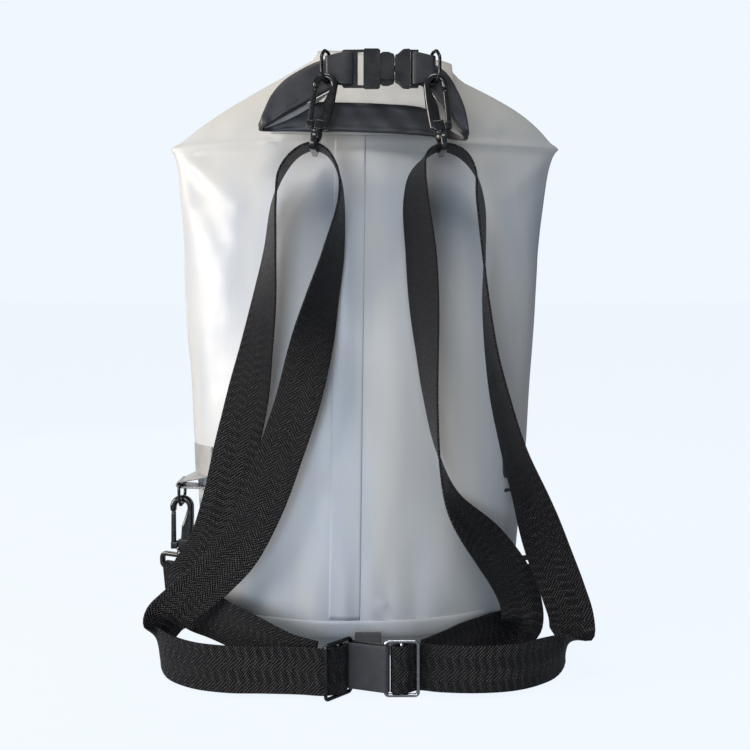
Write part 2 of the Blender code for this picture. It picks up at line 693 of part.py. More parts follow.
# A strip round a side ring's bar, with a leaf that lies flat on the film above and below it.
def side_tab(spot, sign):
    side_x, side_y = spot
    thick = TAB_THICK
    rings = []
    heights = [SIDE_RING_Z - 0.006, SIDE_RING_Z, SIDE_RING_Z + 0.012, SIDE_RING_Z + 0.034]
    for z in heights:
        wide, deep, power, shift = bag_size(z)
        half = 0.0125
        ring = []
        for out in (GAP, GAP + thick):
            line = []
            for y in np.linspace(-half, half, 5):
                at = side_y + y
                inside = 1 - abs(at / (deep + out)) ** power
                x = shift + sign * (wide + out) * inside ** (1 / power)
                line.append((x, at, z))
            ring += line if out == GAP else line[::-1]
        rings.append(ring)
    leaf = stack(rings)
    x_bag = max(abs(r[0]) for r in rings[2])
    x_bar = abs(side_x)
    r = RING_R + 0.0006 + thick / 2
    half = SIDE_RING_HALF - RING_R - 0.0006
    outer = [(sign * x_bar + x, SIDE_RING_Z + z) for x, z in circle(r + thick / 2, 16)]
    tube = plate(outer, side_y - half, side_y + half)
    bore = cylinder(
        (side_x, side_y - 0.03, SIDE_RING_Z), (side_x, side_y + 0.03, SIDE_RING_Z), r - thick / 2, 16
    )
    lo, hi = sorted((sign * (x_bag - thick), sign * (x_bar - r + thick / 4)))
    neck = block((lo, hi), (side_y - half, side_y + half), (SIDE_RING_Z - 0.0011, SIDE_RING_Z + 0.0011))
    return combine(combine(leaf, [tube, neck], [bore]))


# A short loop of webbing round an eye's lower bar, sewn shut below it.
def side_loop():
    r = math.hypot(0.0025, EYE_WIRE / 2) + 0.0004 + WEB_THICK / 2
    half = WEB / 2 - 0.001
    verts, faces = looped_tab(0, 0, r, half, SIDE_LOOP, 0, 0.0016, half, 0, WEB_THICK)
    return np.stack([verts[:, 1], verts[:, 2], -EYE_DROP - verts[:, 0]], axis=1), faces


# The anchor: a strip looped round both sliders' inner bars and tied back to the base's lip.
def anchor_tab(left_bar, right_bar):
    r = SLIDER_WIRE / 2 + 0.0006 + TAB_THICK / 2
    half = SLIDER_H / 2 - SLIDER_WIRE - 0.0014
    loop = looped_tab(*left_bar, r, half, *right_bar, r, half, SLIDER_Z, TAB_THICK)
    x = (left_bar[0] + right_bar[0]) / 2
    y = (left_bar[1] + right_bar[1]) / 2 + r
    lip_y = -(bag_size(RIM_Z + 0.004)[1]) - GAP - LIP - GAP
    lip_y *= (1 - abs((x - RIM_SHIFT_X) / RIM_HALF_X) ** 2.2) ** (1 / 2.2)
    rows = [
        (x, y - 0.0002, SLIDER_Z + 0.010, 1, 0, 0),
        (x, y + 0.010, SLIDER_Z + 0.014, 1, 0, 0),
        (x, lip_y - 0.008, RIM_Z + 0.003, 1, 0, 0),
        (x, lip_y - 0.0016, RIM_Z - 0.001, 1, 0, 0),
    ]
    path = smooth(rows, 0.004)
    web = swept(path[:, :3], path[:, 3:], rectangle(0.022, TAB_THICK))
    return combine(loop, [web])


HOOK, GATE, PIN, EYE = hook_body(), hook_gate(), gate_pin(), swivel_eye()

add("bag_body", *bag_body(), "film")
add("base_disc", *base_disc(), "film")
add("closure_roll", *closure_roll(), "pvc")

ring_loop = RING_R + 0.0007 + TAB_THICK / 2
bar_loop = math.hypot(BAR_HALF, LADDER_THICK / 2) + 0.0003 + TAB_THICK / 2
add(
    "left_closure_tab",
    *looped_tab(
        LEFT_RING_X, BUCKLE_Y, ring_loop, TAB_HALF_RING,
        LEFT_BAR_X, BUCKLE_Y, bar_loop, TAB_HALF_BUCKLE, BUCKLE_Z, TAB_THICK,
    ),
    "pvc",
)
add(
    "right_closure_tab",
    *looped_tab(
        RIGHT_BAR_X, BUCKLE_Y, bar_loop, TAB_HALF_BUCKLE,
        RIGHT_RING_X, BUCKLE_Y, ring_loop, TAB_HALF_RING, BUCKLE_Z, TAB_THICK,
    ),
    "pvc",
)
TOP_RING = d_ring(RING_HALF, RING_DEPTH)
for name, x, bow in (("left_top_ring", LEFT_RING_X, LEFT_BOW), ("right_top_ring", RIGHT_RING_X, RIGHT_BOW)):
    add(name, *TOP_RING, "wire", placed((x, BUCKLE_Y, BUCKLE_Z), math.atan2(bow[1], bow[0])))

add("buckle_female", *buckle_female(), "plastic")
add("buckle_male", *buckle_male(), "plastic")
for name, side in (("release_prong_upper", 1), ("release_prong_lower", -1)):
    root = (PRONG_ROOT_X, BUCKLE_Y, BUCKLE_Z + side * PRONG_ROOT_Z)
    add(name, *release_prong(side), "plastic", None, root)

left_top = placed(LEFT_HOOK, 0.0, LEFT_TILT)
right_top = placed(RIGHT_HOOK, 0.0, RIGHT_TILT, flip=True)
hook_parts("left_top", left_top, left_top)
hook_parts("right_top", right_top, right_top)

# A side ring hangs with its bow down, across the bag's depth.
SIDE_RING = d_ring(SIDE_RING_HALF, SIDE_RING_DEPTH)
hang = Matrix.Rotation(math.pi / 2, 4, "Z") @ Matrix.Rotation(math.pi / 2, 4, "Y")
for prefix, spot, sign in (("left", LEFT_SIDE, -1), ("right", RIGHT_SIDE, 1)):
    origin = side_hook_origin(spot)
    add(prefix + "_side_tab", *side_tab(spot, sign), "patch" if sign < 0 else "pvc")
    add(prefix + "_side_ring", *SIDE_RING, "wire", Matrix.Translation((*spot, SIDE_RING_Z)) @ hang)
    turn = math.radians(90 - SIDE_EYE_DEG) * -sign
    hook_parts(prefix + "_side", placed(origin, 0, 0, flip=sign > 0), placed(origin, turn))
    add(prefix + "_side_loop", *side_loop(), "webbing", placed(origin, turn))

left_angle = math.radians(SLIDER_LEFT_DEG)
left_centre = np.array([SLIDER_LEFT_X, SLIDER_Y])
right_centre = np.array([SLIDER_RIGHT_X, SLIDER_Y])
reach = SLIDER_W / 2 - SLIDER_WIRE / 2
left_inner = left_centre + reach * np.array([math.cos(left_angle), math.sin(left_angle)])
right_inner = right_centre - reach * np.array([1.0, 0.0])
SLIDER = slider()
add("left_slider", *SLIDER, "plastic", placed((*left_centre, SLIDER_Z), left_angle))
add("right_slider", *SLIDER, "wire", placed((*right_centre, SLIDER_Z)))
add("anchor_tab", *anchor_tab(left_inner, right_inner), "pvc")


def over_top(origin, tilt):
    x = origin[0] - EYE_DROP * math.sin(tilt)
    z = origin[2] - EYE_DROP * math.cos(tilt) + EYE_WIRE / 2 + WEB_THICK / 2 + GAP + 0.0008
    return (x, origin[1], z, 0, -1, 0)


TOP_Y = LEFT_WIRE[1]

left_rows = through_slider(left_centre, left_angle, -1)
left_rows += laid([
    (-0.0500, -0.1345, WEB_Z, 0, 0, 1),
    (-0.0800, -0.1325, WEB_Z, 0, 0, 1),
    (-0.1100, -0.1310, WEB_Z, 0, 0, 1),
    (-0.1400, -0.1220, WEB_Z, 0, 0, 1),
    (-0.1630, -0.1060, WEB_Z + 0.0015, -0.05, 0, 1),
    (-0.1740, -0.0880, 0.0290, -0.20, -0.1, 0.97),
    (-0.1710, -0.0800, 0.0430, -0.45, -0.25, 0.85),
    (-0.1580, -0.0850, 0.0570, -0.62, -0.2, 0.72),
    (-0.1420, -0.0910, 0.0710, -0.70, -0.1, 0.70),
    (-0.1240, -0.0950, 0.0880, -0.76, 0, 0.65),
    (-0.1060, -0.0970, 0.1080, -0.83, 0, 0.55),
    (-0.0857, -0.0960, 0.1465, -0.91, 0, 0.42),
    (-0.0700, -0.0940, 0.1890, -0.94, 0, 0.33),
    (-0.0558, -0.0920, 0.2320, -0.95, 0, 0.30),
    (-0.0455, -0.0890, 0.2740, -0.93, -0.25, 0.2),
    (-0.0355, -0.0860, 0.3170, -0.70, -0.70, 0.1),
    (-0.0255, -0.0830, 0.3590, -0.42, -0.90, 0),
    (-0.0195, TOP_Y, 0.4020, -0.08, -1, 0),
    (-0.0220, TOP_Y, 0.4260, 0, -1, 0),
    (-0.0310, TOP_Y, 0.4420, 0, -1, 0),
]) + [over_top(LEFT_HOOK, LEFT_TILT)] + laid([
    (-0.0570, TOP_Y, 0.4420, 0, -1, 0),
    (-0.0700, TOP_Y, 0.4260, 0, -1, 0),
    (-0.0765, TOP_Y, 0.4020, 0.18, -0.98, 0),
    (-0.0800, -0.0820, 0.3590, 0.36, -0.93, 0),
    (-0.0850, -0.0830, 0.3160, 0.62, -0.78, 0),
    (-0.0920, -0.0830, 0.2730, 0.82, -0.57, 0),
    (-0.1000, -0.0820, 0.2300, 0.97, -0.2, 0),
    (-0.1100, -0.0800, 0.1870, 1, 0, 0),
    (-0.1200, -0.0770, 0.1440, 1, 0, 0),
    (-0.1330, -0.0660, 0.1090, 0.97, -0.2, -0.2),
    (-0.1480, -0.0530, 0.0840, 0.92, -0.3, -0.3),
    (-0.1570, -0.0455, 0.0680, 0.90, -0.2, 0.0),
    (-0.1590, -0.0520, 0.0560, 0.75, 0.0, 0.65),
    (-0.1500, -0.0640, 0.0500, 0.35, 0.10, 0.92),
    (-0.1300, -0.0790, 0.0470, 0.10, 0.05, 0.99),
    (-0.1080, -0.0950, 0.0430, 0, 0, 1),
    (-0.0850, -0.1080, 0.0360, 0, 0, 1),
    (-0.0600, -0.1190, 0.0280, 0, 0, 1),
    (-0.0400, -0.1240, WEB_Z + 0.001, 0, 0, 1),
])
add("left_shoulder_strap", *strap(left_rows, 0.006), "webbing")

right_rows = through_slider(right_centre, 0.0, 1)
right_rows += laid([
    (0.0600, -0.1310, WEB_Z, 0, 0, 1),
    (0.0900, -0.1330, WEB_Z, 0, 0, 1),
    (0.1200, -0.1290, WEB_Z, 0, 0, 1),
    (0.1430, -0.1180, WEB_Z, 0, 0, 1),
    (0.1620, -0.1040, 0.0240, 0.25, 0, 0.97),
    (0.1740, -0.0940, 0.0350, 0.70, 0, 0.70),
    (0.1750, -0.0890, 0.0490, 0.93, 0, 0.35),
    (0.1690, -0.0870, 0.0690, 0.95, 0, 0.3),
    (0.1545, -0.0850, 0.1080, 0.90, -0.25, 0.3),
    (0.1420, -0.0840, 0.1465, 0.70, -0.65, 0.2),
    (0.1270, -0.0840, 0.1890, 0.45, -0.88, 0.1),
    (0.1155, -0.0840, 0.2320, 0.32, -0.94, 0),
    (0.1075, -0.0840, 0.2740, 0.14, -0.99, 0),
    (0.1030, -0.0830, 0.3160, 0, -1, 0),
    (0.1010, -0.0820, 0.3590, -0.18, -0.98, 0),
    (0.0985, TOP_Y, 0.4020, -0.28, -0.96, 0),
    (0.0940, TOP_Y, 0.4260, -0.12, -0.98, 0),
    (0.0830, TOP_Y, 0.4410, 0, -1, 0),
]) + [over_top(RIGHT_HOOK, RIGHT_TILT)] + laid([
    (0.0530, TOP_Y, 0.4405, 0, -1, 0),
    (0.0455, TOP_Y, 0.4260, 0.3, -0.95, 0),
    (0.0436, TOP_Y, 0.4020, 0.50, -0.86, 0),
    (0.0476, -0.0820, 0.3590, 0.62, -0.78, 0),
    (0.0500, -0.0890, 0.3160, 0.60, -0.80, 0),
    (0.0525, -0.0940, 0.2740, 0.42, -0.90, 0),
    (0.0555, -0.0980, 0.2320, 0.22, -0.97, 0),
    (0.0615, -0.0990, 0.1890, 0, -1, -0.1),
    (0.0750, -0.0980, 0.1465, -0.3, -0.93, -0.3),
    (0.1060, -0.0870, 0.1080, -0.70, -0.45, -0.50),
    (0.1250, -0.0760, 0.0800, -0.85, -0.25, -0.40),
    (0.1350, -0.0680, 0.0580, -0.95, -0.20, -0.20),
    (0.1380, -0.0640, 0.0390, -0.95, -0.10, 0.10),
    (0.1350, -0.0560, 0.0270, -0.75, 0, 0.65),
    (0.1230, -0.0555, 0.0240, -0.20, 0, 0.98),
    (0.1040, -0.0680, 0.0240, 0, 0, 1),
    (0.0840, -0.0840, 0.0240, 0, 0, 1),
    (0.0640, -0.1050, 0.0240, 0, 0, 1),
    (0.0460, -0.1225, WEB_Z + 0.001, 0, 0, 1),
])
add("right_shoulder_strap", *strap(right_rows, 0.006), "webbing")
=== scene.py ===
# A roll-top dry bag with backpack straps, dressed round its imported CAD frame.
import math

import bmesh
import bpy
import numpy as np
from mathutils import Matrix, Vector


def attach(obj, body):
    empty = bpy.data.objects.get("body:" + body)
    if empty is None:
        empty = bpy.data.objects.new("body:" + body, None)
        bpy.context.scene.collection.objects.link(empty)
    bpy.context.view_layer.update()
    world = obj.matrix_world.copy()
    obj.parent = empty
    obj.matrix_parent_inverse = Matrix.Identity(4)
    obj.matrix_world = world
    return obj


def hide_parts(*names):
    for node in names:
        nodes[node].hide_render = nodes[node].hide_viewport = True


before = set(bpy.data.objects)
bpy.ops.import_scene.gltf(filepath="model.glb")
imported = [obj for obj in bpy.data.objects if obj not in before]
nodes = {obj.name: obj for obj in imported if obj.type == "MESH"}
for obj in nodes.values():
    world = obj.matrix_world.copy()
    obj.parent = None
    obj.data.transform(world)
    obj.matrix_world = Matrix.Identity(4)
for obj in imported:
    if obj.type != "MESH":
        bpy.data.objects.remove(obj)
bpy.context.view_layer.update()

scene = bpy.context.scene
print("frame loaded:", len(nodes), "nodes")


# One piece from closed (rows, columns, 3) grids of points, with quads between neighbours and each
# row's last point joined to its first. A "loop" also joins its last row to its first, and a "tube"
# closes each end row with one face.
def joined(name, parts, body, skin, uvs=None):
    points, faces, flat, start = [], [], [], 0
    for k, (grid, kind) in enumerate(parts):
        rows, cols = grid.shape[:2]
        index = start + np.arange(rows * cols).reshape(rows, cols)
        index = np.vstack([index, index[:1]]) if kind == "loop" else index
        index = np.hstack([index, index[:, :1]])
        corners = (index[:-1, :-1], index[:-1, 1:], index[1:, 1:], index[1:, :-1])
        faces += np.stack(corners, axis=-1).reshape(-1, 4).tolist()
        if uvs is not None:
            uv = uvs[k]
            uvCorners = (uv[:-1, :-1], uv[:-1, 1:], uv[1:, 1:], uv[1:, :-1])
            flat.append(np.stack(uvCorners, axis=-2).reshape(-1, 2))
        if kind == "tube":
            faces += [index[0, :cols][::-1].tolist(), index[-1, :cols].tolist()]
            if uvs is not None:
                flat += [uv[0, :cols][::-1], uv[-1, :cols]]
        points.append(grid.reshape(-1, 3))
        start += rows * cols
    mesh = bpy.data.meshes.new(name)
    mesh.from_pydata(np.vstack(points).tolist(), [], faces)
    if uvs is not None:
        layer = mesh.uv_layers.new(name="cloth")
        layer.data.foreach_set("uv", np.vstack(flat).astype(np.float32).ravel())
    faceOut(mesh)
    return placePiece(name, mesh, body, skin)


# Turns a closed mesh's faces outwards.
def faceOut(mesh):
    work = bmesh.new()
    work.from_mesh(mesh)
    bmesh.ops.recalc_face_normals(work, faces=work.faces)
    if work.calc_volume(signed=True) < 0:
        bmesh.ops.reverse_faces(work, faces=work.faces)
    work.to_mesh(mesh)
    work.free()


# A mesh as a smooth-shaded piece that rides on its body.
def placePiece(name, mesh, body, skin):
    mesh.polygons.foreach_set("use_smooth", np.ones(len(mesh.polygons), dtype=bool))
    piece = bpy.data.objects.new(name, mesh)
    scene.collection.objects.link(piece)
    piece.data.materials.append(skin)
    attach(piece, body)
    return piece


# Each row of vectors at length one.
def unitRows(v):
    return v / np.linalg.norm(v, axis=-1, keepdims=True)


# A cubic from row i to row i + 1 at share t of the way. The slope at each row is the mean of its two
# neighbours' slopes, the nearer one weighing more, and h holds the gaps between rows.
def cubicAt(rows, h, i, t):
    d = np.diff(rows, axis=0) / h[:, None]
    inner = (d[:-1] * h[1:, None] + d[1:] * h[:-1, None]) / (h[:-1] + h[1:])[:, None]
    slope = np.vstack([d[:1], inner, d[-1:]])
    a, b, k, t = rows[i], rows[i + 1], h[i][:, None], t[:, None]
    out = (2 * t**3 - 3 * t**2 + 1) * a + (t**3 - 2 * t**2 + t) * k * slope[i]
    return out + ((-2 * t**3 + 3 * t**2) * b + (t**3 - t**2) * k * slope[i + 1])


# A smooth curve through rows of numbers, spaced by the square root of the chord between them.
def smoothRows(rows, step):
    rows = np.asarray(rows, float)
    chord = np.maximum(np.linalg.norm(np.diff(rows[:, :3], axis=0), axis=1), 1e-6)
    counts = np.maximum(2, np.ceil(chord / step).astype(int))
    piece = np.repeat(np.arange(len(counts)), counts)
    t = np.arange(len(piece)) - np.repeat(np.cumsum(counts) - counts, counts)
    return np.vstack([cubicAt(rows, np.sqrt(chord), piece, t / counts[piece]), rows[-1:]])


# Each row of a table at any height, by the same smooth curve.
def smoothTable(table, z):
    table = np.asarray(table, float)
    h = np.diff(table[:, 0])
    i = np.clip(np.searchsorted(table[:, 0], z, side="right") - 1, 0, len(h) - 1)
    return cubicAt(table, h, i, np.clip((z - table[i, 0]) / h[i], 0, 1))


# Directions across and out of a path of points: across is the width direction made square to the
# path, and out is square to both.
def pathFrame(points, widths, closed=False):
    if closed:
        along = unitRows(np.roll(points, -1, axis=0) - np.roll(points, 1, axis=0))
    else:
        along = unitRows(np.gradient(points, axis=0))
    across = unitRows(widths - along * np.sum(widths * along, axis=1, keepdims=True))
    return across, np.cross(along, across)


# A section (u, v) carried along a path: u goes along the width and v out of it.
def carried(points, widths, section, closed=False, grow=None):
    points, widths = np.asarray(points, float), np.asarray(widths, float)
    across, out = pathFrame(points, widths, closed)
    section = np.asarray(section, float)
    if section.ndim == 2:
        section = np.repeat(section[None], len(points), axis=0)
    if grow is not None:
        section = section * grow[:, None, None]
    grid = points[:, None, :] + section[..., :1] * across[:, None, :]
    return grid + section[..., 1:] * out[:, None, :]


# Distance run along a path at each of its points.
def pathLength(points):
    return np.concatenate([[0], np.cumsum(np.linalg.norm(np.diff(points, axis=0), axis=1))])


# A flat strip's section: a long rounded rectangle, its selvedges slightly swollen.
def stripSection(wide, thick, swell=0.0, across=18):
    half, r = wide / 2, thick / 2
    turn = np.linspace(-np.pi / 2, np.pi / 2, 7)
    flat = np.linspace(-half + r, half - r, across)
    bulge = r + swell * np.exp(-((half - np.abs(flat)) / 0.0022) ** 2)
    right = np.stack([half - r + r * np.cos(turn), (r + swell) * np.sin(turn)], axis=1)
    top = np.stack([flat[::-1], bulge[::-1]], axis=1)
    left = np.stack([-right[::-1, 0], right[::-1, 1]], axis=1)
    under = np.stack([flat, -bulge], axis=1)
    return np.vstack([right, top[1:-1], left, under[1:-1]])


# A round section: points evenly spread on a circle.
def ringSection(radius, sides=18):
    q = np.arange(sides) / sides * 2 * np.pi
    return np.stack([radius * np.cos(q), radius * np.sin(q)], axis=1)


# A rounded rectangle's outline with the given corner radius.
def roundedSection(wide, high, corner, steps=6):
    turn = np.linspace(0, np.pi / 2, steps)
    c = corner * np.stack([np.cos(turn), np.sin(turn)], axis=1)
    a, b = wide / 2 - corner, high / 2 - corner
    first = c + [a, b]
    second = np.stack([-c[::-1, 0] - a, c[::-1, 1] + b], axis=1)
    third = -first
    fourth = -second
    return np.vstack([first, second, third, fourth])


# A closed outline whose corners are arcs: each corner is (x, y, radius).
def roundedOutline(corners, steps=8):
    spots = np.array([c[:2] for c in corners], float)
    out = []
    for i, (_, _, r) in enumerate(corners):
        a, b = spots[i - 1] - spots[i], spots[(i + 1) % len(spots)] - spots[i]
        longA, longB = np.linalg.norm(a), np.linalg.norm(b)
        a, b = a / longA, b / longB
        half = math.acos(max(-1.0, min(1.0, float(a.dot(b))))) / 2
        back = min(r / math.tan(half), 0.49 * longA, 0.49 * longB)
        r = back * math.tan(half)
        mid = spots[i] + (a + b) / np.linalg.norm(a + b) * r / math.sin(half)
        first, last = spots[i] + a * back - mid, spots[i] + b * back - mid
        turn = math.atan2(first[0] * last[1] - first[1] * last[0], first.dot(last))
        q = turn * np.linspace(0, 1, steps)
        out.append(np.stack([mid[0] + first[0] * np.cos(q) - first[1] * np.sin(q),
                             mid[1] + first[0] * np.sin(q) + first[1] * np.cos(q)], axis=1))
    return np.vstack(out)


# Points evenly spaced along a polyline, closed or open, with its other columns carried along.
def evenly(points, step, closed=False):
    points = np.asarray(points, float)
    if closed:
        points = np.vstack([points, points[:1]])
    long = pathLength(points[:, :2])
    count = max(8, int(round(long[-1] / step)))
    at = np.linspace(0, long[-1], count + 1)
    out = np.stack([np.interp(at, long, column) for column in points.T], axis=1)
    return out[:-1] if closed else out


# A profile of (radius, height) rows turned about Z.
def turned(profile, sides=28):
    profile = np.asarray(profile, float)
    q = np.arange(sides) / sides * 2 * np.pi
    x, y = profile[:, :1] * np.cos(q), profile[:, :1] * np.sin(q)
    return np.stack([x, y, profile[:, 1:] + 0 * x], axis=-1)


# A bar of rounded rectangles stacked along Z, its two ends eased in by quarter rounds.
def easedBlock(wide, deep, low, high, corner, ease):
    q = np.linspace(0, np.pi / 2, 5)
    inset = np.concatenate([ease * (1 - np.sin(q)), ease * (1 - np.cos(q))])
    z = np.concatenate([low + ease * (1 - np.cos(q)), high - ease * (1 - np.sin(q))])
    rows = [roundedSection(wide - 2 * i, deep - 2 * i, max(corner - i, 0.0002), 5) for i in inset]
    return np.stack([np.column_stack([row, np.full(len(row), h)]) for row, h in zip(rows, z)])


# A grid turned and shifted by a matrix.
def moved(grid, matrix):
    m = np.array(matrix)
    return grid @ m[:3, :3].T + m[:3, 3]


# A strip's way round two upright bars: (x, y, half height) rows, arcs at the bars joined straight.
def roundBars(a, ra, halfA, b, rb, halfB, step):
    a, b = np.asarray(a, float), np.asarray(b, float)
    run = b - a
    size = np.linalg.norm(run)
    base = math.atan2(run[1], run[0])
    leanIn = math.asin((ra - rb) / size)
    first = base + math.pi / 2 - leanIn + (math.pi + 2 * leanIn) * np.linspace(0, 1, 17)
    last = base - math.pi / 2 + leanIn + (math.pi - 2 * leanIn) * np.linspace(0, 1, 17)
    near = np.column_stack([a[0] + ra * np.cos(first), a[1] + ra * np.sin(first), np.full(17, halfA)])
    far = np.column_stack([b[0] + rb * np.cos(last), b[1] + rb * np.sin(last), np.full(17, halfB)])
    return evenly(np.vstack([near, far]), step, closed=True)


def newSkin(name, colour, rough, **values):
    skin = bpy.data.materials.new(name)
    skin.use_nodes = True
    shader = skin.node_tree.nodes["Principled BSDF"]
    shader.inputs["Base Color"].default_value = (*colour, 1)
    shader.inputs["Roughness"].default_value = rough
    for socket, value in values.items():
        shader.inputs[socket.replace("_", " ")].default_value = value
    return skin, skin.node_tree, shader


def addNode(tree, kind, inputs=None, **settings):
    node = tree.nodes.new(kind)
    for key, value in settings.items():
        setattr(node, key, value)
    for key, value in (inputs or {}).items():
        if isinstance(value, bpy.types.NodeSocket):
            tree.links.new(value, node.inputs[key])
        else:
            node.inputs[key].default_value = value
    return node


def coords(tree):
    return addNode(tree, "ShaderNodeTexCoord").outputs["Object"]


def mathNode(tree, operation, a, b=None):
    inputs = {0: a}
    if b is not None:
        inputs[1] = b
    return addNode(tree, "ShaderNodeMath", inputs, operation=operation).outputs[0]


def ramp(tree, factor, low, high, start=0.3, end=0.7):
    node = addNode(tree, "ShaderNodeMapRange", {0: factor, 1: start, 2: end, 3: low, 4: high})
    return node.outputs[0]


def tint(tree, factor, first, second):
    node = tree.nodes.new("ShaderNodeMix")
    node.data_type = "RGBA"
    tree.links.new(factor, node.inputs[0])
    for socket, colour in ((node.inputs[6], first), (node.inputs[7], second)):
        if isinstance(colour, tuple):
            socket.default_value = (*colour, 1)
        else:
            tree.links.new(colour, socket)
    return node.outputs[2]


def noise(tree, vector, scale, detail=3, rough=0.5):
    inputs = {"Vector": vector, "Scale": scale, "Detail": detail, "Roughness": rough}
    return addNode(tree, "ShaderNodeTexNoise", inputs).outputs["Fac"]


def bump(tree, shader, height, distance, strength=1.0):
    inputs = {"Height": height, "Distance": distance, "Strength": strength}
    tree.links.new(addNode(tree, "ShaderNodeBump", inputs).outputs[0], shader.inputs["Normal"])


# Fine pebbled grain of coated sheet.
def pebbled(tree, shader, here):
    grain = addNode(tree, "ShaderNodeTexVoronoi", {"Vector": here, "Scale": 1500.0}).outputs["Distance"]
    bump(tree, shader, grain, 0.00008, 0.4)


filmLook = {
    "pale": (0.50, 0.545, 0.62), "milkyAndReflection": (0.68, 0.68, 0.67), "paintedTopLight": (0.62, 0.60, 0.56),
    "through": 0.22, "gloss": (0.28, 0.44), "peel": 0.00012,
}


# Frosted film: soft cloudy colour whose pale streaks are partly its own cloudiness and partly painted
# inner reflections, a top painted warmer and lighter as light from above, satin shine that comes and
# goes, and a faint peel.
def makeFilmSkin():
    skin, tree, shader = newSkin("frostedFilm", filmLook["pale"], 0.4, IOR=1.42, Coat_Weight=0.12,
                                 Coat_Roughness=0.25, Transmission_Weight=filmLook["through"])
    here = coords(tree)
    streak = addNode(tree, "ShaderNodeMapping", {"Vector": here, "Scale": (16.0, 16.0, 2.2)}).outputs[0]
    # Pale streaks stretched up the film: partly the film's own cloudy tone, partly painted inner reflections.
    cloudAndReflection = noise(tree, streak, 1.0, 4, 0.5)
    body = tint(tree, ramp(tree, cloudAndReflection, 0, 1, 0.36, 0.66), filmLook["pale"], filmLook["milkyAndReflection"])
    # Above about 0.45 m the film is tinted warmer and lighter: painted light falling from above on the roof.
    high = addNode(tree, "ShaderNodeSeparateXYZ", {0: here}).outputs[2]
    tree.links.new(tint(tree, ramp(tree, high, 0, 1, 0.40, 0.50), body, filmLook["paintedTopLight"]),
                   shader.inputs["Base Color"])
    fine = noise(tree, here, 60.0, 3, 0.6)
    tree.links.new(ramp(tree, fine, *filmLook["gloss"]), shader.inputs["Roughness"])
    peel = noise(tree, here, 420.0, 2, 0.5)
    bump(tree, shader, peel, filmLook["peel"], 0.5)
    return skin


pvcLook = {"dark": (0.022, 0.022, 0.026), "worn": (0.046, 0.045, 0.051), "rough": (0.34, 0.5)}


# Dark coated sheet: fine pebbled grain, a little rubbed in patches.
def makePvcSkin():
    skin, tree, shader = newSkin("darkSheet", pvcLook["dark"], 0.42, Specular_IOR_Level=0.5)
    here = coords(tree)
    rubbed = noise(tree, here, 28.0, 5, 0.65)
    tree.links.new(tint(tree, ramp(tree, rubbed, 0, 1, 0.42, 0.75), pvcLook["dark"], pvcLook["worn"]),
                   shader.inputs["Base Color"])
    tree.links.new(ramp(tree, rubbed, *pvcLook["rough"]), shader.inputs["Roughness"])
    pebbled(tree, shader, here)
    return skin


weaveLook = {
    "yarn": (0.0012, 0.0011, 0.0018), "face": (0.0150, 0.0138, 0.0185), "slant": 0.0030,
    "rib": 0.0027, "row": 0.0021, "turn": 0.0095, "depth": 0.00105,
}


# Nylon webbing: on the strip's own map, u across and v along in metres. Diagonal floats turn
# back in a zigzag every few ribs; their crowns are painted lighter as a painted highlight, and the gaps
# stay near black as painted shade.
def makeWeaveSkin():
    skin, tree, shader = newSkin("webbing", weaveLook["yarn"], 0.5, Specular_IOR_Level=0.34)
    uv = addNode(tree, "ShaderNodeUVMap", uv_map="cloth").outputs[0]
    split = addNode(tree, "ShaderNodeSeparateXYZ", {0: uv})
    across, along = split.outputs[0], split.outputs[1]
    zig = mathNode(tree, "PINGPONG", across, weaveLook["turn"])
    rib, cell, pick = (
        mathNode(tree, "SINE", mathNode(tree, "MULTIPLY", way, 2 * math.pi / weaveLook[size]))
        for way, size in ((mathNode(tree, "ADD", along, zig), "slant"), (across, "rib"), (along, "row"))
    )
    small = mathNode(tree, "MULTIPLY", cell, pick)
    height = mathNode(tree, "ADD", mathNode(tree, "MULTIPLY", rib, 0.45),
                      mathNode(tree, "MULTIPLY", small, 0.55))
    stretched = addNode(tree, "ShaderNodeMapping", {"Vector": uv, "Scale": (260.0, 90.0, 1.0)}).outputs[0]
    patchy = mathNode(tree, "MULTIPLY", noise(tree, stretched, 1.0, 2), 0.6)
    # The raised crowns get a lighter colour as a painted highlight and the gaps stay dark as painted shade;
    # the noise adds random patches.
    crownHighlight = ramp(tree, mathNode(tree, "ADD", height, patchy), 0, 1, -0.2, 1.1)
    tree.links.new(tint(tree, crownHighlight, weaveLook["yarn"], weaveLook["face"]), shader.inputs["Base Color"])
    tree.links.new(ramp(tree, crownHighlight, 0.62, 0.26, 0, 1), shader.inputs["Roughness"])
    bump(tree, shader, height, weaveLook["depth"], 0.95)
    return skin


plasticLook = {
    "colour": (0.006, 0.006, 0.008), "light": (0.013, 0.013, 0.015), "rough": (0.30, 0.46), "grain": 1100.0,
}


# Moulded buckle plastic with a fine spark-eroded texture.
def makePlasticSkin():
    skin, tree, shader = newSkin("mouldedPlastic", plasticLook["colour"], 0.42)
    here = coords(tree)
    grain = noise(tree, here, plasticLook["grain"], 2, 0.6)
    soft = noise(tree, here, 70.0, 3)
    tree.links.new(ramp(tree, soft, *plasticLook["rough"]), shader.inputs["Roughness"])
    tree.links.new(tint(tree, ramp(tree, soft, 0, 1), plasticLook["colour"], plasticLook["light"]),
                   shader.inputs["Base Color"])
    bump(tree, shader, grain, 0.00025, 0.8)
    return skin


glossLook = {"dark": (0.003, 0.003, 0.004), "light": (0.008, 0.008, 0.009), "rough": (0.14, 0.32)}


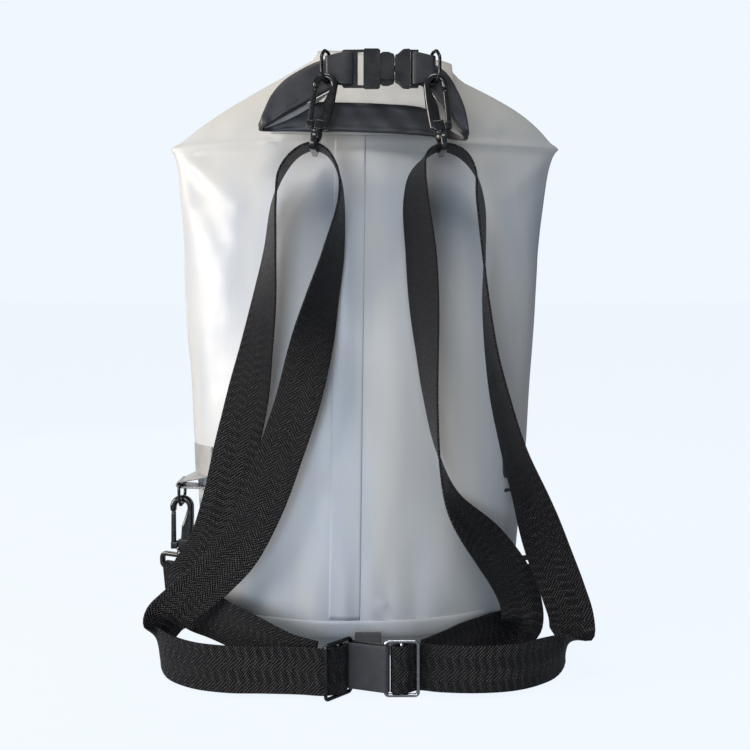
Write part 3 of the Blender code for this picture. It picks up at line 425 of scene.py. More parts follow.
# Glossy moulded hook: nearly black, faint flow marks.
def makeGlossSkin():
    skin, tree, shader = newSkin("glossyHook", glossLook["dark"], 0.2, Coat_Weight=0.4, Coat_Roughness=0.08)
    here = coords(tree)
    marks = noise(tree, here, 120.0, 4, 0.6)
    tree.links.new(ramp(tree, marks, *glossLook["rough"]), shader.inputs["Roughness"])
    tree.links.new(tint(tree, ramp(tree, marks, 0, 1), glossLook["dark"], glossLook["light"]),
                   shader.inputs["Base Color"])
    bump(tree, shader, noise(tree, here, 35.0, 2), 0.0002, 0.25)
    return skin


# Wire: drawn metal with hairline scratches, either blackened or bright grey.
def makeWireSkin(name, colour, light, rough):
    skin, tree, shader = newSkin(name, colour, rough[0], Metallic=1.0)
    here = coords(tree)
    scratches = noise(tree, here, 260.0, 5, 0.7)
    tree.links.new(tint(tree, ramp(tree, scratches, 0, 1), colour, light), shader.inputs["Base Color"])
    tree.links.new(ramp(tree, scratches, *rough), shader.inputs["Roughness"])
    bump(tree, shader, scratches, 0.00005, 0.3)
    return skin


patchLook = {"grey": (0.27, 0.265, 0.26), "worn": (0.42, 0.415, 0.41)}


# Pale coated sheet, for the left side tab, and for the leaves in the closure's creases, where it is a painted
# highlight on the folds.
def makePaleSheetAndHighlightSkin():
    skin, tree, shader = newSkin("paleSheetAndHighlight", patchLook["worn"], 0.4, Transmission_Weight=0.1)
    here = coords(tree)
    rubbed = noise(tree, here, 40.0, 4, 0.6)
    tree.links.new(tint(tree, ramp(tree, rubbed, 0, 1), patchLook["grey"], patchLook["worn"]),
                   shader.inputs["Base Color"])
    pebbled(tree, shader, here)
    return skin


filmSkin, pvcSkin, paleSheetAndHighlightSkin = makeFilmSkin(), makePvcSkin(), makePaleSheetAndHighlightSkin()
weaveSkin, plasticSkin, glossSkin = makeWeaveSkin(), makePlasticSkin(), makeGlossSkin()
darkWire = makeWireSkin("darkWire", (0.035, 0.036, 0.040), (0.075, 0.077, 0.084), (0.18, 0.34))
brightWire = makeWireSkin("brightWire", (0.26, 0.27, 0.30), (0.44, 0.45, 0.48), (0.16, 0.30))
print("finishes made")


viewer = {
    "place": (0.0039, -0.8245, 0.3190), "turn": 0.0069, "down": 0.0195, "lens": 42.07, "drop": -0.08,
}
camera = bpy.data.objects.new("camera", bpy.data.cameras.new("camera"))
camera.data.lens, camera.data.sensor_width = viewer["lens"], 36
camera.data.clip_start = 0.02
camera.location = viewer["place"]
camera.rotation_euler = (math.pi / 2 - viewer["down"], 0, -viewer["turn"])
camera.data.shift_y = viewer["drop"]
scene.collection.objects.link(camera)
scene.camera = camera

studio = {
    "sky": (0.871, 0.93, 1.0), "ambient": 0.20, "shown": 1.0, "floorGlow": 0.975, "bounce": 0.30,
    "floor": (0.055, 0.055, 0.055), "reach": 60,
    "lamps": [  # name, place, aim, size, colour, power
        ("keyLamp", (-1.55, -0.62, 0.50), (0.0, 0.0, 0.24), 0.9, (1.0, 0.92, 0.83), 31),
        ("frontLamp", (-0.35, -1.3, 0.18), (0.02, 0.0, 0.18), 0.5, (0.72, 0.85, 1.0), 6.2),
        ("topLamp", (-0.10, -0.85, 1.65), (0.02, 0.0, 0.45), 0.7, (1.0, 0.985, 0.96), 11),
        ("backLamp", (-0.6, 1.2, 0.6), (0.0, 0.0, 0.28), 0.8, (0.92, 0.96, 1.0), 2.5),
    ],
}


# One level for light that falls on things and another for what the camera sees.
def seenLevel(tree, falling, shown):
    path = tree.nodes.new("ShaderNodeLightPath")
    inputs = {0: path.outputs["Is Camera Ray"], 3: falling, 4: shown}
    return addNode(tree, "ShaderNodeMapRange", inputs).outputs[0]


# An even sky and a bright floor in view, both dimmer as light on the bag, and four soft lamps.
def makeStudio():
    world = bpy.data.worlds.new("studio")
    world.use_nodes = True
    tree = world.node_tree
    back = tree.nodes["Background"]
    back.inputs[0].default_value = (*studio["sky"], 1)
    tree.links.new(seenLevel(tree, studio["ambient"], studio["shown"]), back.inputs[1])
    scene.world = world
    scene.view_settings.view_transform = "Standard"
    plane = bpy.data.meshes.new("floor")
    reach = studio["reach"]
    corners = [(-reach, -reach, 0), (reach, -reach, 0), (reach, reach, 0), (-reach, reach, 0)]
    plane.from_pydata(corners, [], [[0, 1, 2, 3]])
    floor = bpy.data.objects.new("floor", plane)
    scene.collection.objects.link(floor)
    skin, tree, shader = newSkin("paleFloor", studio["floor"], 0.9, Specular_IOR_Level=0.0)
    shader.inputs["Emission Color"].default_value = (*studio["sky"], 1)
    glow = seenLevel(tree, studio["bounce"], studio["floorGlow"])
    tree.links.new(glow, shader.inputs["Emission Strength"])
    plane.materials.append(skin)
    for name, place, aim, size, colour, power in studio["lamps"]:
        lamp = bpy.data.objects.new(name, bpy.data.lights.new(name, "AREA"))
        lamp.data.size, lamp.data.color, lamp.data.energy = size, colour, power
        lamp.location = place
        lamp.rotation_euler = (Vector(aim) - Vector(place)).to_track_quat("-Z", "Y").to_euler()
        scene.collection.objects.link(lamp)


makeStudio()

bag = {
    "height": 0.5380, "ear": 0.458, "earHalf": 0.178, "rimX": 0.142, "rimY": 0.0875, "rimZ": 0.036,
    "rimShift": -0.006, "crestHalf": 0.062, "crestShift": 0.0185, "film": 0.0012, "slit": 0.0008,
    "foldR": 0.0045, "foldDeg": 157.0, "flap": 0.077, "around": 264, "sway": -0.0024,
    "leftLift": 0.0085, "rightDrop": 0.0050,
}
roofRise = bag["height"] - bag["foldR"] - bag["ear"]
slitHalf = bag["film"] + bag["slit"] / 2
earDeep = bag["rimY"] - 0.0505
wallTable = [  # share of the wall's height, half width, half depth, roundness
    (0.00, bag["rimX"], bag["rimY"], 2.2),
    (0.06, bag["rimX"] + 0.0035, bag["rimY"] - 0.0005, 2.2),
    (0.15, bag["rimX"] + 0.0070, bag["rimY"] - 0.0030, 2.2),
    (0.28, bag["rimX"] + 0.0108, bag["rimY"] - 0.0070, 2.15),
    (0.42, bag["rimX"] + 0.0148, bag["rimY"] - 0.0115, 2.1),
    (0.56, bag["rimX"] + 0.0195, bag["rimY"] - 0.0165, 2.05),
    (0.70, bag["earHalf"] - 0.0135, bag["rimY"] - 0.0235, 2.0),
    (0.82, bag["earHalf"] - 0.0095, bag["rimY"] - 0.0315, 1.9),
    (0.91, bag["earHalf"] - 0.0060, bag["rimY"] - 0.0395, 1.65),
    (0.97, bag["earHalf"] - 0.0025, bag["rimY"] - 0.0465, 1.4),
    (1.00, bag["earHalf"], earDeep, 1.3),
]
roofTable = [  # share of the roof's rise, width and depth as shares, roundness
    (0.00, 1.00, 1.00, 1.3),
    (0.22, 0.86, 0.84, 1.35),
    (0.48, 0.64, 0.60, 1.45),
    (0.74, 0.34, 0.32, 1.6),
    (0.90, 0.13, 0.12, 1.8),
    (1.00, 0.00, 0.00, 2.0),
]


# Half width, half depth, roundness and shift of the bag at given heights.
def bagSize(z):
    z = np.atleast_1d(np.asarray(z, float))
    part = (z - bag["rimZ"]) / (bag["ear"] - bag["rimZ"])
    wall = smoothTable(wallTable, np.clip(part, 0, 1))
    rise = np.clip((z - bag["ear"]) / roofRise, 0, 1)
    roof = smoothTable(roofTable, rise)
    over = z > bag["ear"]
    halfX = np.where(over, bag["crestHalf"] + (bag["earHalf"] - bag["crestHalf"]) * roof[:, 1], wall[:, 1])
    halfY = np.where(over, slitHalf + (earDeep - slitHalf) * roof[:, 2], wall[:, 2])
    power = np.where(over, roof[:, 3], wall[:, 3])
    shift = np.where(over, bag["crestShift"] * rise, bag["rimShift"] * (1 - np.clip(part, 0, 1)))
    shift = shift + bag["sway"] * np.exp(-(((part - 0.70) / 0.17) ** 2))
    return halfX, halfY, power, shift


# How far points lie from a line between two points in the front view.
def lineGap(x, z, start, end):
    a, b = np.array(start), np.array(end)
    run = b - a
    t = np.clip(((x - a[0]) * run[0] + (z - a[1]) * run[1]) / run.dot(run), 0, 1)
    return np.hypot(x - a[0] - t * run[0], z - a[1] - t * run[1]), t


creases = [  # front or back, start, end, height, width of a fold in the film
    (-1, (-0.176, 0.456), (-0.112, 0.404), 0.0030, 0.0085),
    (-1, (-0.114, 0.402), (-0.122, 0.300), 0.0020, 0.0190),
    (-1, (-0.174, 0.452), (-0.128, 0.370), -0.0026, 0.0100),
    (-1, (-0.176, 0.452), (-0.154, 0.350), 0.0022, 0.0090),
    (-1, (-0.150, 0.400), (-0.128, 0.330), 0.0018, 0.0130),
    (-1, (-0.170, 0.457), (-0.085, 0.438), -0.0018, 0.0080),
    (-1, (0.176, 0.456), (0.128, 0.412), 0.0022, 0.0090),
    (-1, (0.130, 0.410), (0.138, 0.310), 0.0016, 0.0180),
    (-1, (0.174, 0.450), (0.158, 0.360), -0.0020, 0.0090),
    (-1, (-0.178, 0.459), (-0.085, 0.460), 0.0026, 0.0036),
    (-1, (0.178, 0.459), (0.080, 0.460), 0.0034, 0.0034),
    (-1, (-0.090, 0.460), (0.085, 0.460), 0.0014, 0.0040),
    (-1, (-0.060, 0.335), (-0.086, 0.140), -0.0014, 0.0220),
    (-1, (-0.078, 0.420), (-0.070, 0.330), 0.0020, 0.0160),
    (-1, (0.020, 0.420), (0.034, 0.300), 0.0016, 0.0200),
    (-1, (0.075, 0.400), (0.100, 0.200), -0.0016, 0.0200),
    (-1, (0.014, 0.060), (0.024, 0.046), 0.0018, 0.0030),
    (-1, (-0.120, 0.480), (-0.060, 0.505), 0.0014, 0.0100),
    (-1, (0.120, 0.478), (0.085, 0.512), 0.0018, 0.0080),
    (1, (-0.178, 0.459), (0.178, 0.459), 0.0022, 0.0042),
    (1, (-0.176, 0.456), (-0.110, 0.390), 0.0030, 0.0085),
    (1, (0.176, 0.456), (0.118, 0.396), 0.0030, 0.0085),
    (1, (-0.174, 0.452), (-0.150, 0.350), -0.0022, 0.0100),
    (1, (0.174, 0.452), (0.150, 0.350), -0.0022, 0.0100),
    (1, (-0.110, 0.390), (-0.118, 0.270), 0.0018, 0.0190),
    (1, (0.118, 0.396), (0.122, 0.280), 0.0018, 0.0190),
    (1, (-0.030, 0.430), (-0.060, 0.180), -0.0020, 0.0280),
    (1, (0.045, 0.440), (0.070, 0.220), -0.0020, 0.0260),
]


# How far the film stands out of its plain section: soft folds that run down from the corners,
# slow waves down its length, and a slack hollow in the middle of each face.
def filmRelief(x, y, z):
    out = np.zeros_like(x)
    for side, start, end, height, width in creases:
        gap, t = lineGap(x, z, start, end)
        face = 1 / (1 + np.exp(-side * y / 0.006))
        fade = 1 - 0.55 * t if abs(end[1] - start[1]) > 0.01 else 1.0
        out += height * face * fade * np.exp(-((gap / width) ** 2))
    wave = np.sin(x * 61 + 1.3 + 0.6 * np.sin(z * 17)) * 0.6 + np.sin(x * 107 - z * 9 + 0.4) * 0.4
    down = np.clip((0.455 - z) / 0.10, 0, 1) * np.clip((z - 0.040) / 0.05, 0, 1)
    out += 0.0011 * wave * down
    ripple = np.sin(z * 46 + np.sin(x * 19) * 1.7 + np.sign(y) * 0.8)
    out += 0.0007 * ripple * down
    pull = np.clip((0.11 - z) / 0.07, 0, 1) * np.clip((z - 0.037) / 0.006, 0, 1)
    out += 0.0007 * pull * np.sin(x * 190 + 3 * np.sin(x * 31))
    return out


# The roof leans towards the strap side, in proportion to its rise.
def lean(z):
    return -0.005 * np.clip((z - bag["ear"]) / roofRise, 0, None)


# Rings of the bag: superellipses with their points spread round by angle, and the relief added
# along each ring's own outward direction.
def bagRings(z, inset=0.0):
    q = np.arange(bag["around"]) / bag["around"] * 2 * np.pi
    c, s = np.cos(q)[None], np.sin(q)[None]
    halfX, halfY, power, shift = (v[:, None] for v in bagSize(z))
    halfY = np.maximum(halfY - inset, bag["slit"] / 2)
    halfX = halfX - inset
    x = halfX * np.sign(c) * np.abs(c) ** (2 / power)
    y = halfY * np.sign(s) * np.abs(s) ** (2 / power)
    grid = np.stack([x + shift, y + 0 * x, np.broadcast_to(np.asarray(z)[:, None], x.shape)], axis=-1)
    out = np.stack([x / halfX**2, y / halfY**2, 0 * x], axis=-1)
    out /= np.maximum(np.linalg.norm(out, axis=-1, keepdims=True), 1e-9)
    grid = grid + out * filmRelief(grid[..., 0], grid[..., 1], grid[..., 2])[..., None]
    grid[..., 1] += lean(grid[..., 2])
    return grid


# Lifts the crest towards its left end and rounds off its right end; nothing below the corners moves.
def crestLift(grid):
    x, z = grid[..., 0], grid[..., 2]
    up = np.clip((z - bag["ear"]) / roofRise, 0, 1) ** 1.3
    left = np.clip((0.048 - x) / 0.085, 0, 1)
    fade = np.clip((x + 0.150) / 0.095, 0, 1)
    right = np.clip((x - 0.064) / 0.020, 0, 1.3)
    lift = bag["leftLift"] * left**2 * (3 - 2 * left) * fade
    grid[..., 2] = z + up * (lift - bag["rightDrop"] * right**2)
    return grid


# The mouth's two films above the crest: a flat ring carried round the fold and down its flap.
def mouthRings(inset, foldSteps, flapSteps):
    q = np.radians(bag["foldDeg"]) * np.arange(1, foldSteps + 1) / foldSteps
    last = np.radians(bag["foldDeg"])
    topY, topZ = float(lean(bag["ear"] + roofRise)) - bag["foldR"], bag["ear"] + roofRise
    run = bag["flap"] * np.arange(1, flapSteps + 1) / flapSteps
    share = run / bag["flap"]
    x = np.concatenate([np.full(foldSteps, bag["crestShift"]), bag["crestShift"] * (1 - share)])
    y = np.concatenate([topY + bag["foldR"] * np.cos(q),
                        topY + bag["foldR"] * np.cos(last) - run * np.sin(last)])
    z = np.concatenate([topZ + bag["foldR"] * np.sin(q),
                        topZ + bag["foldR"] * np.sin(last) + run * np.cos(last)])
    tilt = np.concatenate([q, np.full(flapSteps, last)])
    half = np.concatenate([np.full(foldSteps, bag["crestHalf"]), bag["crestHalf"] + 0.022 * share])
    around = np.arange(bag["around"]) / bag["around"] * 2 * np.pi
    c, s = np.cos(around)[None], np.sin(around)[None]
    deep = max(slitHalf - inset, bag["slit"] / 2)
    gx = x[:, None] + (half[:, None] - inset) * c
    off = deep * s * np.ones_like(gx)
    gy, gz = y[:, None] + off * np.cos(tilt)[:, None], z[:, None] + off * np.sin(tilt)[:, None]
    return np.stack([gx, gy, gz], axis=-1)


# The film: wall, roof, fold and flap outside, then fewer rings of the same inside, as one skin.
def makeFilm():
    wall = np.linspace(bag["rimZ"], bag["ear"], 112)
    roof = bag["ear"] + roofRise * np.linspace(0, 1, 42)[1:]
    heights = np.concatenate([wall, roof])
    outer = np.concatenate([bagRings(heights), mouthRings(0, 12, 16)])
    few = np.concatenate([wall[::4], roof[2::3]])
    inner = np.concatenate([bagRings(few, bag["film"]), mouthRings(bag["film"], 8, 5)])
    grid = crestLift(np.concatenate([outer, inner[::-1]]))
    piece = joined("bagFilm", [(grid, "loop")], "bag", filmSkin)
    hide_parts("bag_body")
    return piece


# The overlap weld up the strap side: a thin strip that lies on the film, its two edges showing.
def makeWeld():
    z = np.linspace(bag["rimZ"] + 0.0105, bag["ear"] + 0.020, 120)
    rise = (z - z[0]) / (z[-1] - z[0])
    left = -0.0300 + 0.0035 * rise
    right = -0.0035 + 0.0050 * rise
    section = np.linspace(0, 1, 25)
    x = left[:, None] + (right - left)[:, None] * section[None]
    halfX, halfY, power, shift = (v[:, None] for v in bagSize(z))
    y = -halfY * (1 - np.abs((x - shift) / halfX) ** power) ** (1 / power)
    zz = np.broadcast_to(z[:, None], x.shape)
    relief = filmRelief(x, y, zz)
    y = y - relief + lean(zz)
    edge = np.minimum(section, 1 - section)[None] * 0.026
    lift = 0.00038 * np.clip(edge / 0.0014, 0, 1) ** 0.7
    front = np.stack([x, y - 0.00005 - lift, zz], axis=-1)
    rear = np.stack([x, y + 0.0004, zz], axis=-1)[:, ::-1]
    grid = np.concatenate([front, rear], axis=1)
    joined("weldStrip", [(grid, "tube")], "bag", filmSkin)


film = makeFilm()
makeWeld()
print("film made:", len(film.data.polygons), "faces")

base = {
    "lipHigh": 0.010, "lip": 0.0015, "gap": 0.0003, "thick": 0.0016,
    "dome": [(0.50, 0.0, 0), (0.64, 0.0022, 0), (0.78, 0.0085, 0), (0.90, 0.0175, 0), (0.97, 0.0262, 0)],
}


# The base: a dish whose rings shrink and drop to a flat foot, with a welded lip round the film.
def makeBase():
    dome = smoothRows(base["dome"], 0.01)
    halfX, halfY, power, shift = (float(v[0]) for v in bagSize(bag["rimZ"]))
    q = np.arange(240) / 240 * 2 * np.pi
    c, s = np.cos(q), np.sin(q)
    unitX = np.sign(c) * np.abs(c) ** (2 / power)
    unitY = np.sign(s) * np.abs(s) ** (2 / power)
    top = bag["rimZ"] + base["lipHigh"]
    outer = base["gap"] + base["lip"]
    rows = [(share, 0.0, z) for share, z, _ in dome]
    seat = bag["rimZ"] - base["gap"]
    rows += [
        (1, outer * 0.6, 0.0310), (1, outer, 0.0328), (1, outer, 0.0360), (1, outer + 0.0003, 0.0392),
        (1, outer, 0.0425), (1, outer, top - 0.0008), (1, outer - 0.0004, top - 0.0001),
        (1, base["gap"], top - 0.0003), (1, base["gap"], 0.0400), (1, base["gap"], seat),
        (1, -0.0030, seat), (1, -0.0042, bag["rimZ"] - 0.0040),
    ]
    rows += [(share, -0.0012, z + base["thick"]) for share, z, _ in dome[::-1][1:]]
    rows = np.array(rows)
    share, grow, z = rows[:, :1], rows[:, 1:2], rows[:, 2:]
    x = shift + (halfX * share + grow) * unitX[None]
    y = (halfY * share + grow) * unitY[None]
    ripple = 0.0006 * np.sin(q * 34 + 2 * np.sin(q * 5))[None]
    ripple = ripple * np.clip((z - 0.010) / 0.02, 0, 1) * np.clip((0.030 - z) / 0.008, 0, 1)
    grid = np.stack([x * (1 + ripple / 0.14), y * (1 + ripple / 0.09), z + 0 * x], axis=-1)
    piece = joined("baseDish", [(grid, "tube")], "bag", filmSkin)
    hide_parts("base_disc")


makeBase()
print("base made")

web = {"wide": 0.038, "thick": 0.0017, "step": 0.0035}
slide = {
    "wide": 0.029, "high": 0.0462, "wire": 0.0030, "y": -0.131, "leftX": -0.0205, "rightX": 0.0301,
    "leftTurn": math.radians(42.0),
}
slide["z"] = slide["high"] / 2 + 0.0004
slide["webZ"] = slide["z"] - 0.0003
aroundWire = slide["wire"] / 2 + web["thick"] / 2 + 0.0003
hookEye = {"drop": 0.018, "wire": 0.0040}


# The webbing's way through a slider, from behind its outer bar over the middle bar and back.
def throughSlider(centre, angle, side):
    run = np.array([math.cos(angle), math.sin(angle)]) * side
    back = np.array([-math.sin(angle), math.cos(angle)])
    back = -back if back[1] < 0 else back
    centre = np.asarray(centre, float)
    outer = centre + run * (slide["wide"] / 2 - slide["wire"] / 2)
    spots = [
        centre + run * 0.0105 + back * (aroundWire + web["thick"] + 0.0018),
        centre + run * 0.0045 + back * (aroundWire + 0.0009),
        centre + back * aroundWire * 0.98 - run * 0.0050,
        centre - run * (aroundWire + 0.0056),
        centre - back * aroundWire - run * 0.0050,
        centre - back * aroundWire * 1.02 + run * 0.0008,
        centre + run * 0.0045 - back * aroundWire * 0.55,
        outer + back * aroundWire * 1.35,
    ]
    return [(p[0], p[1], slide["webZ"], 0, 0, 1) for p in spots]


# Where the webbing's middle passes over an eye's lower bar, under a hook that hangs at a tilt.
def overTop(origin, tilt):
    x = origin[0] - hookEye["drop"] * math.sin(tilt)
    z = origin[2] - hookEye["drop"] * math.cos(tilt) + hookEye["wire"] / 2 + web["thick"] / 2 + 0.0011
    return (x, origin[1], z, 0, -1, 0)


# A strap: its flat section carried along a smooth path through rows of place and width direction.
def makeStrap(name, node, rows):
    path = smoothRows(rows, web["step"])
    grid = carried(path[:, :3], path[:, 3:], stripSection(web["wide"], web["thick"], 0.00015))
    section = stripSection(web["wide"], web["thick"])
    across = np.concatenate([section[:, 0], section[:1, 0]]) + web["wide"] / 2
    along = pathLength(path[:, :3])
    uv = np.stack(np.meshgrid(across, along), axis=-1)
    piece = joined(name, [(grid, "tube")], "bag", weaveSkin, [uv])
    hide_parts(node)


closure = {
    "wide": 0.0255, "thick": 0.0060, "y": -0.0508, "armY": -0.0638, "tabThick": 0.0014,
    "ringHalf": 0.0110, "buckleHalf": 0.0138, "leftRing": -0.0300, "rightRing": 0.0575,
    "leftBar": -0.0170, "rightBar": 0.0440, "reach": 0.0036, "leftTip": (-0.0905, 0.4648),
    "rightTip": (0.0885, 0.4568), "leftRun": (0.874, 0.486), "rightRun": (-0.61, 0.792),
}
buckle = {"y": -0.0722, "z": 0.5145}
ringSize = {"wire": 0.0014, "half": 0.0132, "depth": 0.0165, "grip": 0.0076}
hook = {
    "inside": 0.0052, "bar": 0.0052, "thick": 0.0052, "headZ": 0.038, "baseHigh": 0.0070, "waist": 0.0020,
    "heavy": 0.0048, "swingRoom": 0.0099, "open": math.radians(17), "pivotX": -0.0076, "pivotZ": 0.0038,
    "eyeSlot": web["wide"] + 0.0014,
}
restZ = hook["headZ"] + hook["inside"] - 0.0010 - ringSize["wire"]


# A top hook's origin: its head rests on the ring's wire, a grip's length out along the ring's bow.
def hookOrigin(x, bow, tilt):
    wireX, wireY = x + bow[0] * ringSize["grip"], buckle["y"] + bow[1] * ringSize["grip"]
    wireZ = buckle["z"] - ringSize["half"]
    return (wireX - restZ * math.sin(tilt), wireY, wireZ - restZ * math.cos(tilt))


def unitPair(x, y):
    size = math.hypot(x, y)
    return (x / size, y / size)


leftBow, rightBow = unitPair(-0.35, -0.94), unitPair(0.35, -0.94)
leftTilt, rightTilt = math.radians(10.0), math.radians(-6.0)
leftHook = hookOrigin(closure["leftRing"], leftBow, leftTilt)
rightHook = hookOrigin(closure["rightRing"], rightBow, rightTilt)
topY = buckle["y"] + leftBow[1] * ringSize["grip"]
webZ = slide["webZ"]

leftRows = throughSlider((slide["leftX"], slide["y"]), slide["leftTurn"], -1) + [
    (-0.0500, -0.1345, webZ, 0, 0, 1),
    (-0.0800, -0.1325, webZ, 0, 0, 1),
    (-0.1100, -0.1310, webZ, 0, 0, 1),
    (-0.1400, -0.1220, webZ, 0, 0, 1),
    (-0.1630, -0.1060, webZ + 0.0015, -0.05, 0, 1),
    (-0.1740, -0.0880, 0.0290, -0.20, -0.1, 0.97),
    (-0.1710, -0.0800, 0.0430, -0.45, -0.25, 0.85),
    (-0.1580, -0.0850, 0.0570, -0.62, -0.2, 0.72),
    (-0.1420, -0.0910, 0.0710, -0.70, -0.1, 0.70),
    (-0.1240, -0.0950, 0.0880, -0.76, 0, 0.65),
    (-0.1060, -0.0970, 0.1080, -0.83, 0, 0.55),
    (-0.0857, -0.0960, 0.1465, -0.91, 0, 0.42),
    (-0.0700, -0.0940, 0.1890, -0.94, 0, 0.33),
    (-0.0558, -0.0920, 0.2320, -0.95, 0, 0.30),
    (-0.0455, -0.0890, 0.2740, -0.93, -0.25, 0.2),
    (-0.0355, -0.0860, 0.3170, -0.70, -0.70, 0.1),
    (-0.0255, -0.0830, 0.3590, -0.42, -0.90, 0),
    (-0.0195, topY, 0.4020, -0.08, -1, 0),
    (-0.0220, topY, 0.4260, 0, -1, 0),
    (-0.0310, topY, 0.4420, 0, -1, 0),
    overTop(leftHook, leftTilt),
    (-0.0570, topY, 0.4420, 0, -1, 0),
    (-0.0700, topY, 0.4260, 0, -1, 0),
    (-0.0765, topY, 0.4020, 0.18, -0.98, 0),
    (-0.0800, -0.0820, 0.3590, 0.36, -0.93, 0),
    (-0.0850, -0.0830, 0.3160, 0.62, -0.78, 0),
    (-0.0920, -0.0830, 0.2730, 0.82, -0.57, 0),
    (-0.1000, -0.0820, 0.2300, 0.97, -0.2, 0),
    (-0.1100, -0.0800, 0.1870, 1, 0, 0),
    (-0.1200, -0.0770, 0.1440, 1, 0, 0),
    (-0.1330, -0.0660, 0.1090, 0.97, -0.2, -0.2),
    (-0.1480, -0.0530, 0.0840, 0.92, -0.3, -0.3),
    (-0.1570, -0.0455, 0.0680, 0.90, -0.2, 0.0),
    (-0.1590, -0.0520, 0.0560, 0.75, 0.0, 0.65),
    (-0.1500, -0.0640, 0.0500, 0.35, 0.10, 0.92),
    (-0.1300, -0.0790, 0.0470, 0.10, 0.05, 0.99),
    (-0.1080, -0.0950, 0.0430, 0, 0, 1),
    (-0.0850, -0.1080, 0.0360, 0, 0, 1),
    (-0.0600, -0.1190, 0.0280, 0, 0, 1),
    (-0.0400, -0.1240, webZ + 0.001, 0, 0, 1),
]
rightRows = throughSlider((slide["rightX"], slide["y"]), 0.0, 1) + [
    (0.0600, -0.1310, webZ, 0, 0, 1),
    (0.0900, -0.1330, webZ, 0, 0, 1),
    (0.1200, -0.1290, webZ, 0, 0, 1),
    (0.1430, -0.1180, webZ, 0, 0, 1),
    (0.1620, -0.1040, 0.0240, 0.25, 0, 0.97),
    (0.1740, -0.0940, 0.0350, 0.70, 0, 0.70),
    (0.1750, -0.0890, 0.0490, 0.93, 0, 0.35),
    (0.1690, -0.0870, 0.0690, 0.95, 0, 0.3),
    (0.1545, -0.0850, 0.1080, 0.90, -0.25, 0.3),
    (0.1420, -0.0840, 0.1465, 0.70, -0.65, 0.2),
    (0.1270, -0.0840, 0.1890, 0.45, -0.88, 0.1),
    (0.1155, -0.0840, 0.2320, 0.32, -0.94, 0),
    (0.1075, -0.0840, 0.2740, 0.14, -0.99, 0),
    (0.1030, -0.0830, 0.3160, 0, -1, 0),
    (0.1010, -0.0820, 0.3590, -0.18, -0.98, 0),
    (0.0985, topY, 0.4020, -0.28, -0.96, 0),
    (0.0940, topY, 0.4260, -0.12, -0.98, 0),
    (0.0830, topY, 0.4410, 0, -1, 0),
    overTop(rightHook, rightTilt),
    (0.0530, topY, 0.4405, 0, -1, 0),
    (0.0455, topY, 0.4260, 0.3, -0.95, 0),
    (0.0436, topY, 0.4020, 0.50, -0.86, 0),
    (0.0476, -0.0820, 0.3590, 0.62, -0.78, 0),
    (0.0500, -0.0890, 0.3160, 0.60, -0.80, 0),
    (0.0525, -0.0940, 0.2740, 0.42, -0.90, 0),
    (0.0555, -0.0980, 0.2320, 0.22, -0.97, 0),
    (0.0615, -0.0990, 0.1890, 0, -1, -0.1),
    (0.0750, -0.0980, 0.1465, -0.3, -0.93, -0.3),
    (0.1060, -0.0870, 0.1080, -0.70, -0.45, -0.50),
    (0.1250, -0.0760, 0.0800, -0.85, -0.25, -0.40),
    (0.1350, -0.0680, 0.0580, -0.95, -0.20, -0.20),
    (0.1380, -0.0640, 0.0390, -0.95, -0.10, 0.10),
    (0.1350, -0.0560, 0.0270, -0.75, 0, 0.65),
    (0.1230, -0.0555, 0.0240, -0.20, 0, 0.98),
    (0.1040, -0.0680, 0.0240, 0, 0, 1),
    (0.0840, -0.0840, 0.0240, 0, 0, 1),
    (0.0640, -0.1050, 0.0240, 0, 0, 1),
    (0.0460, -0.1225, webZ + 0.001, 0, 0, 1),
]
makeStrap("leftStrap", "left_shoulder_strap", leftRows)
makeStrap("rightStrap", "right_shoulder_strap", rightRows)
print("straps made")


# Rows of the band: centre, width direction and width. The roll tapers to a point at each tip, and
# the arm that folds forward from there grows from the crease line like a leaf.
def leafRows(tip, along, out, y, spots):
    return [(tip[0] + along[0] * s + out[0] * w / 2, y, tip[1] + along[1] * s + out[1] * w / 2,
             out[0], 0, out[1], w) for s, w in spots]


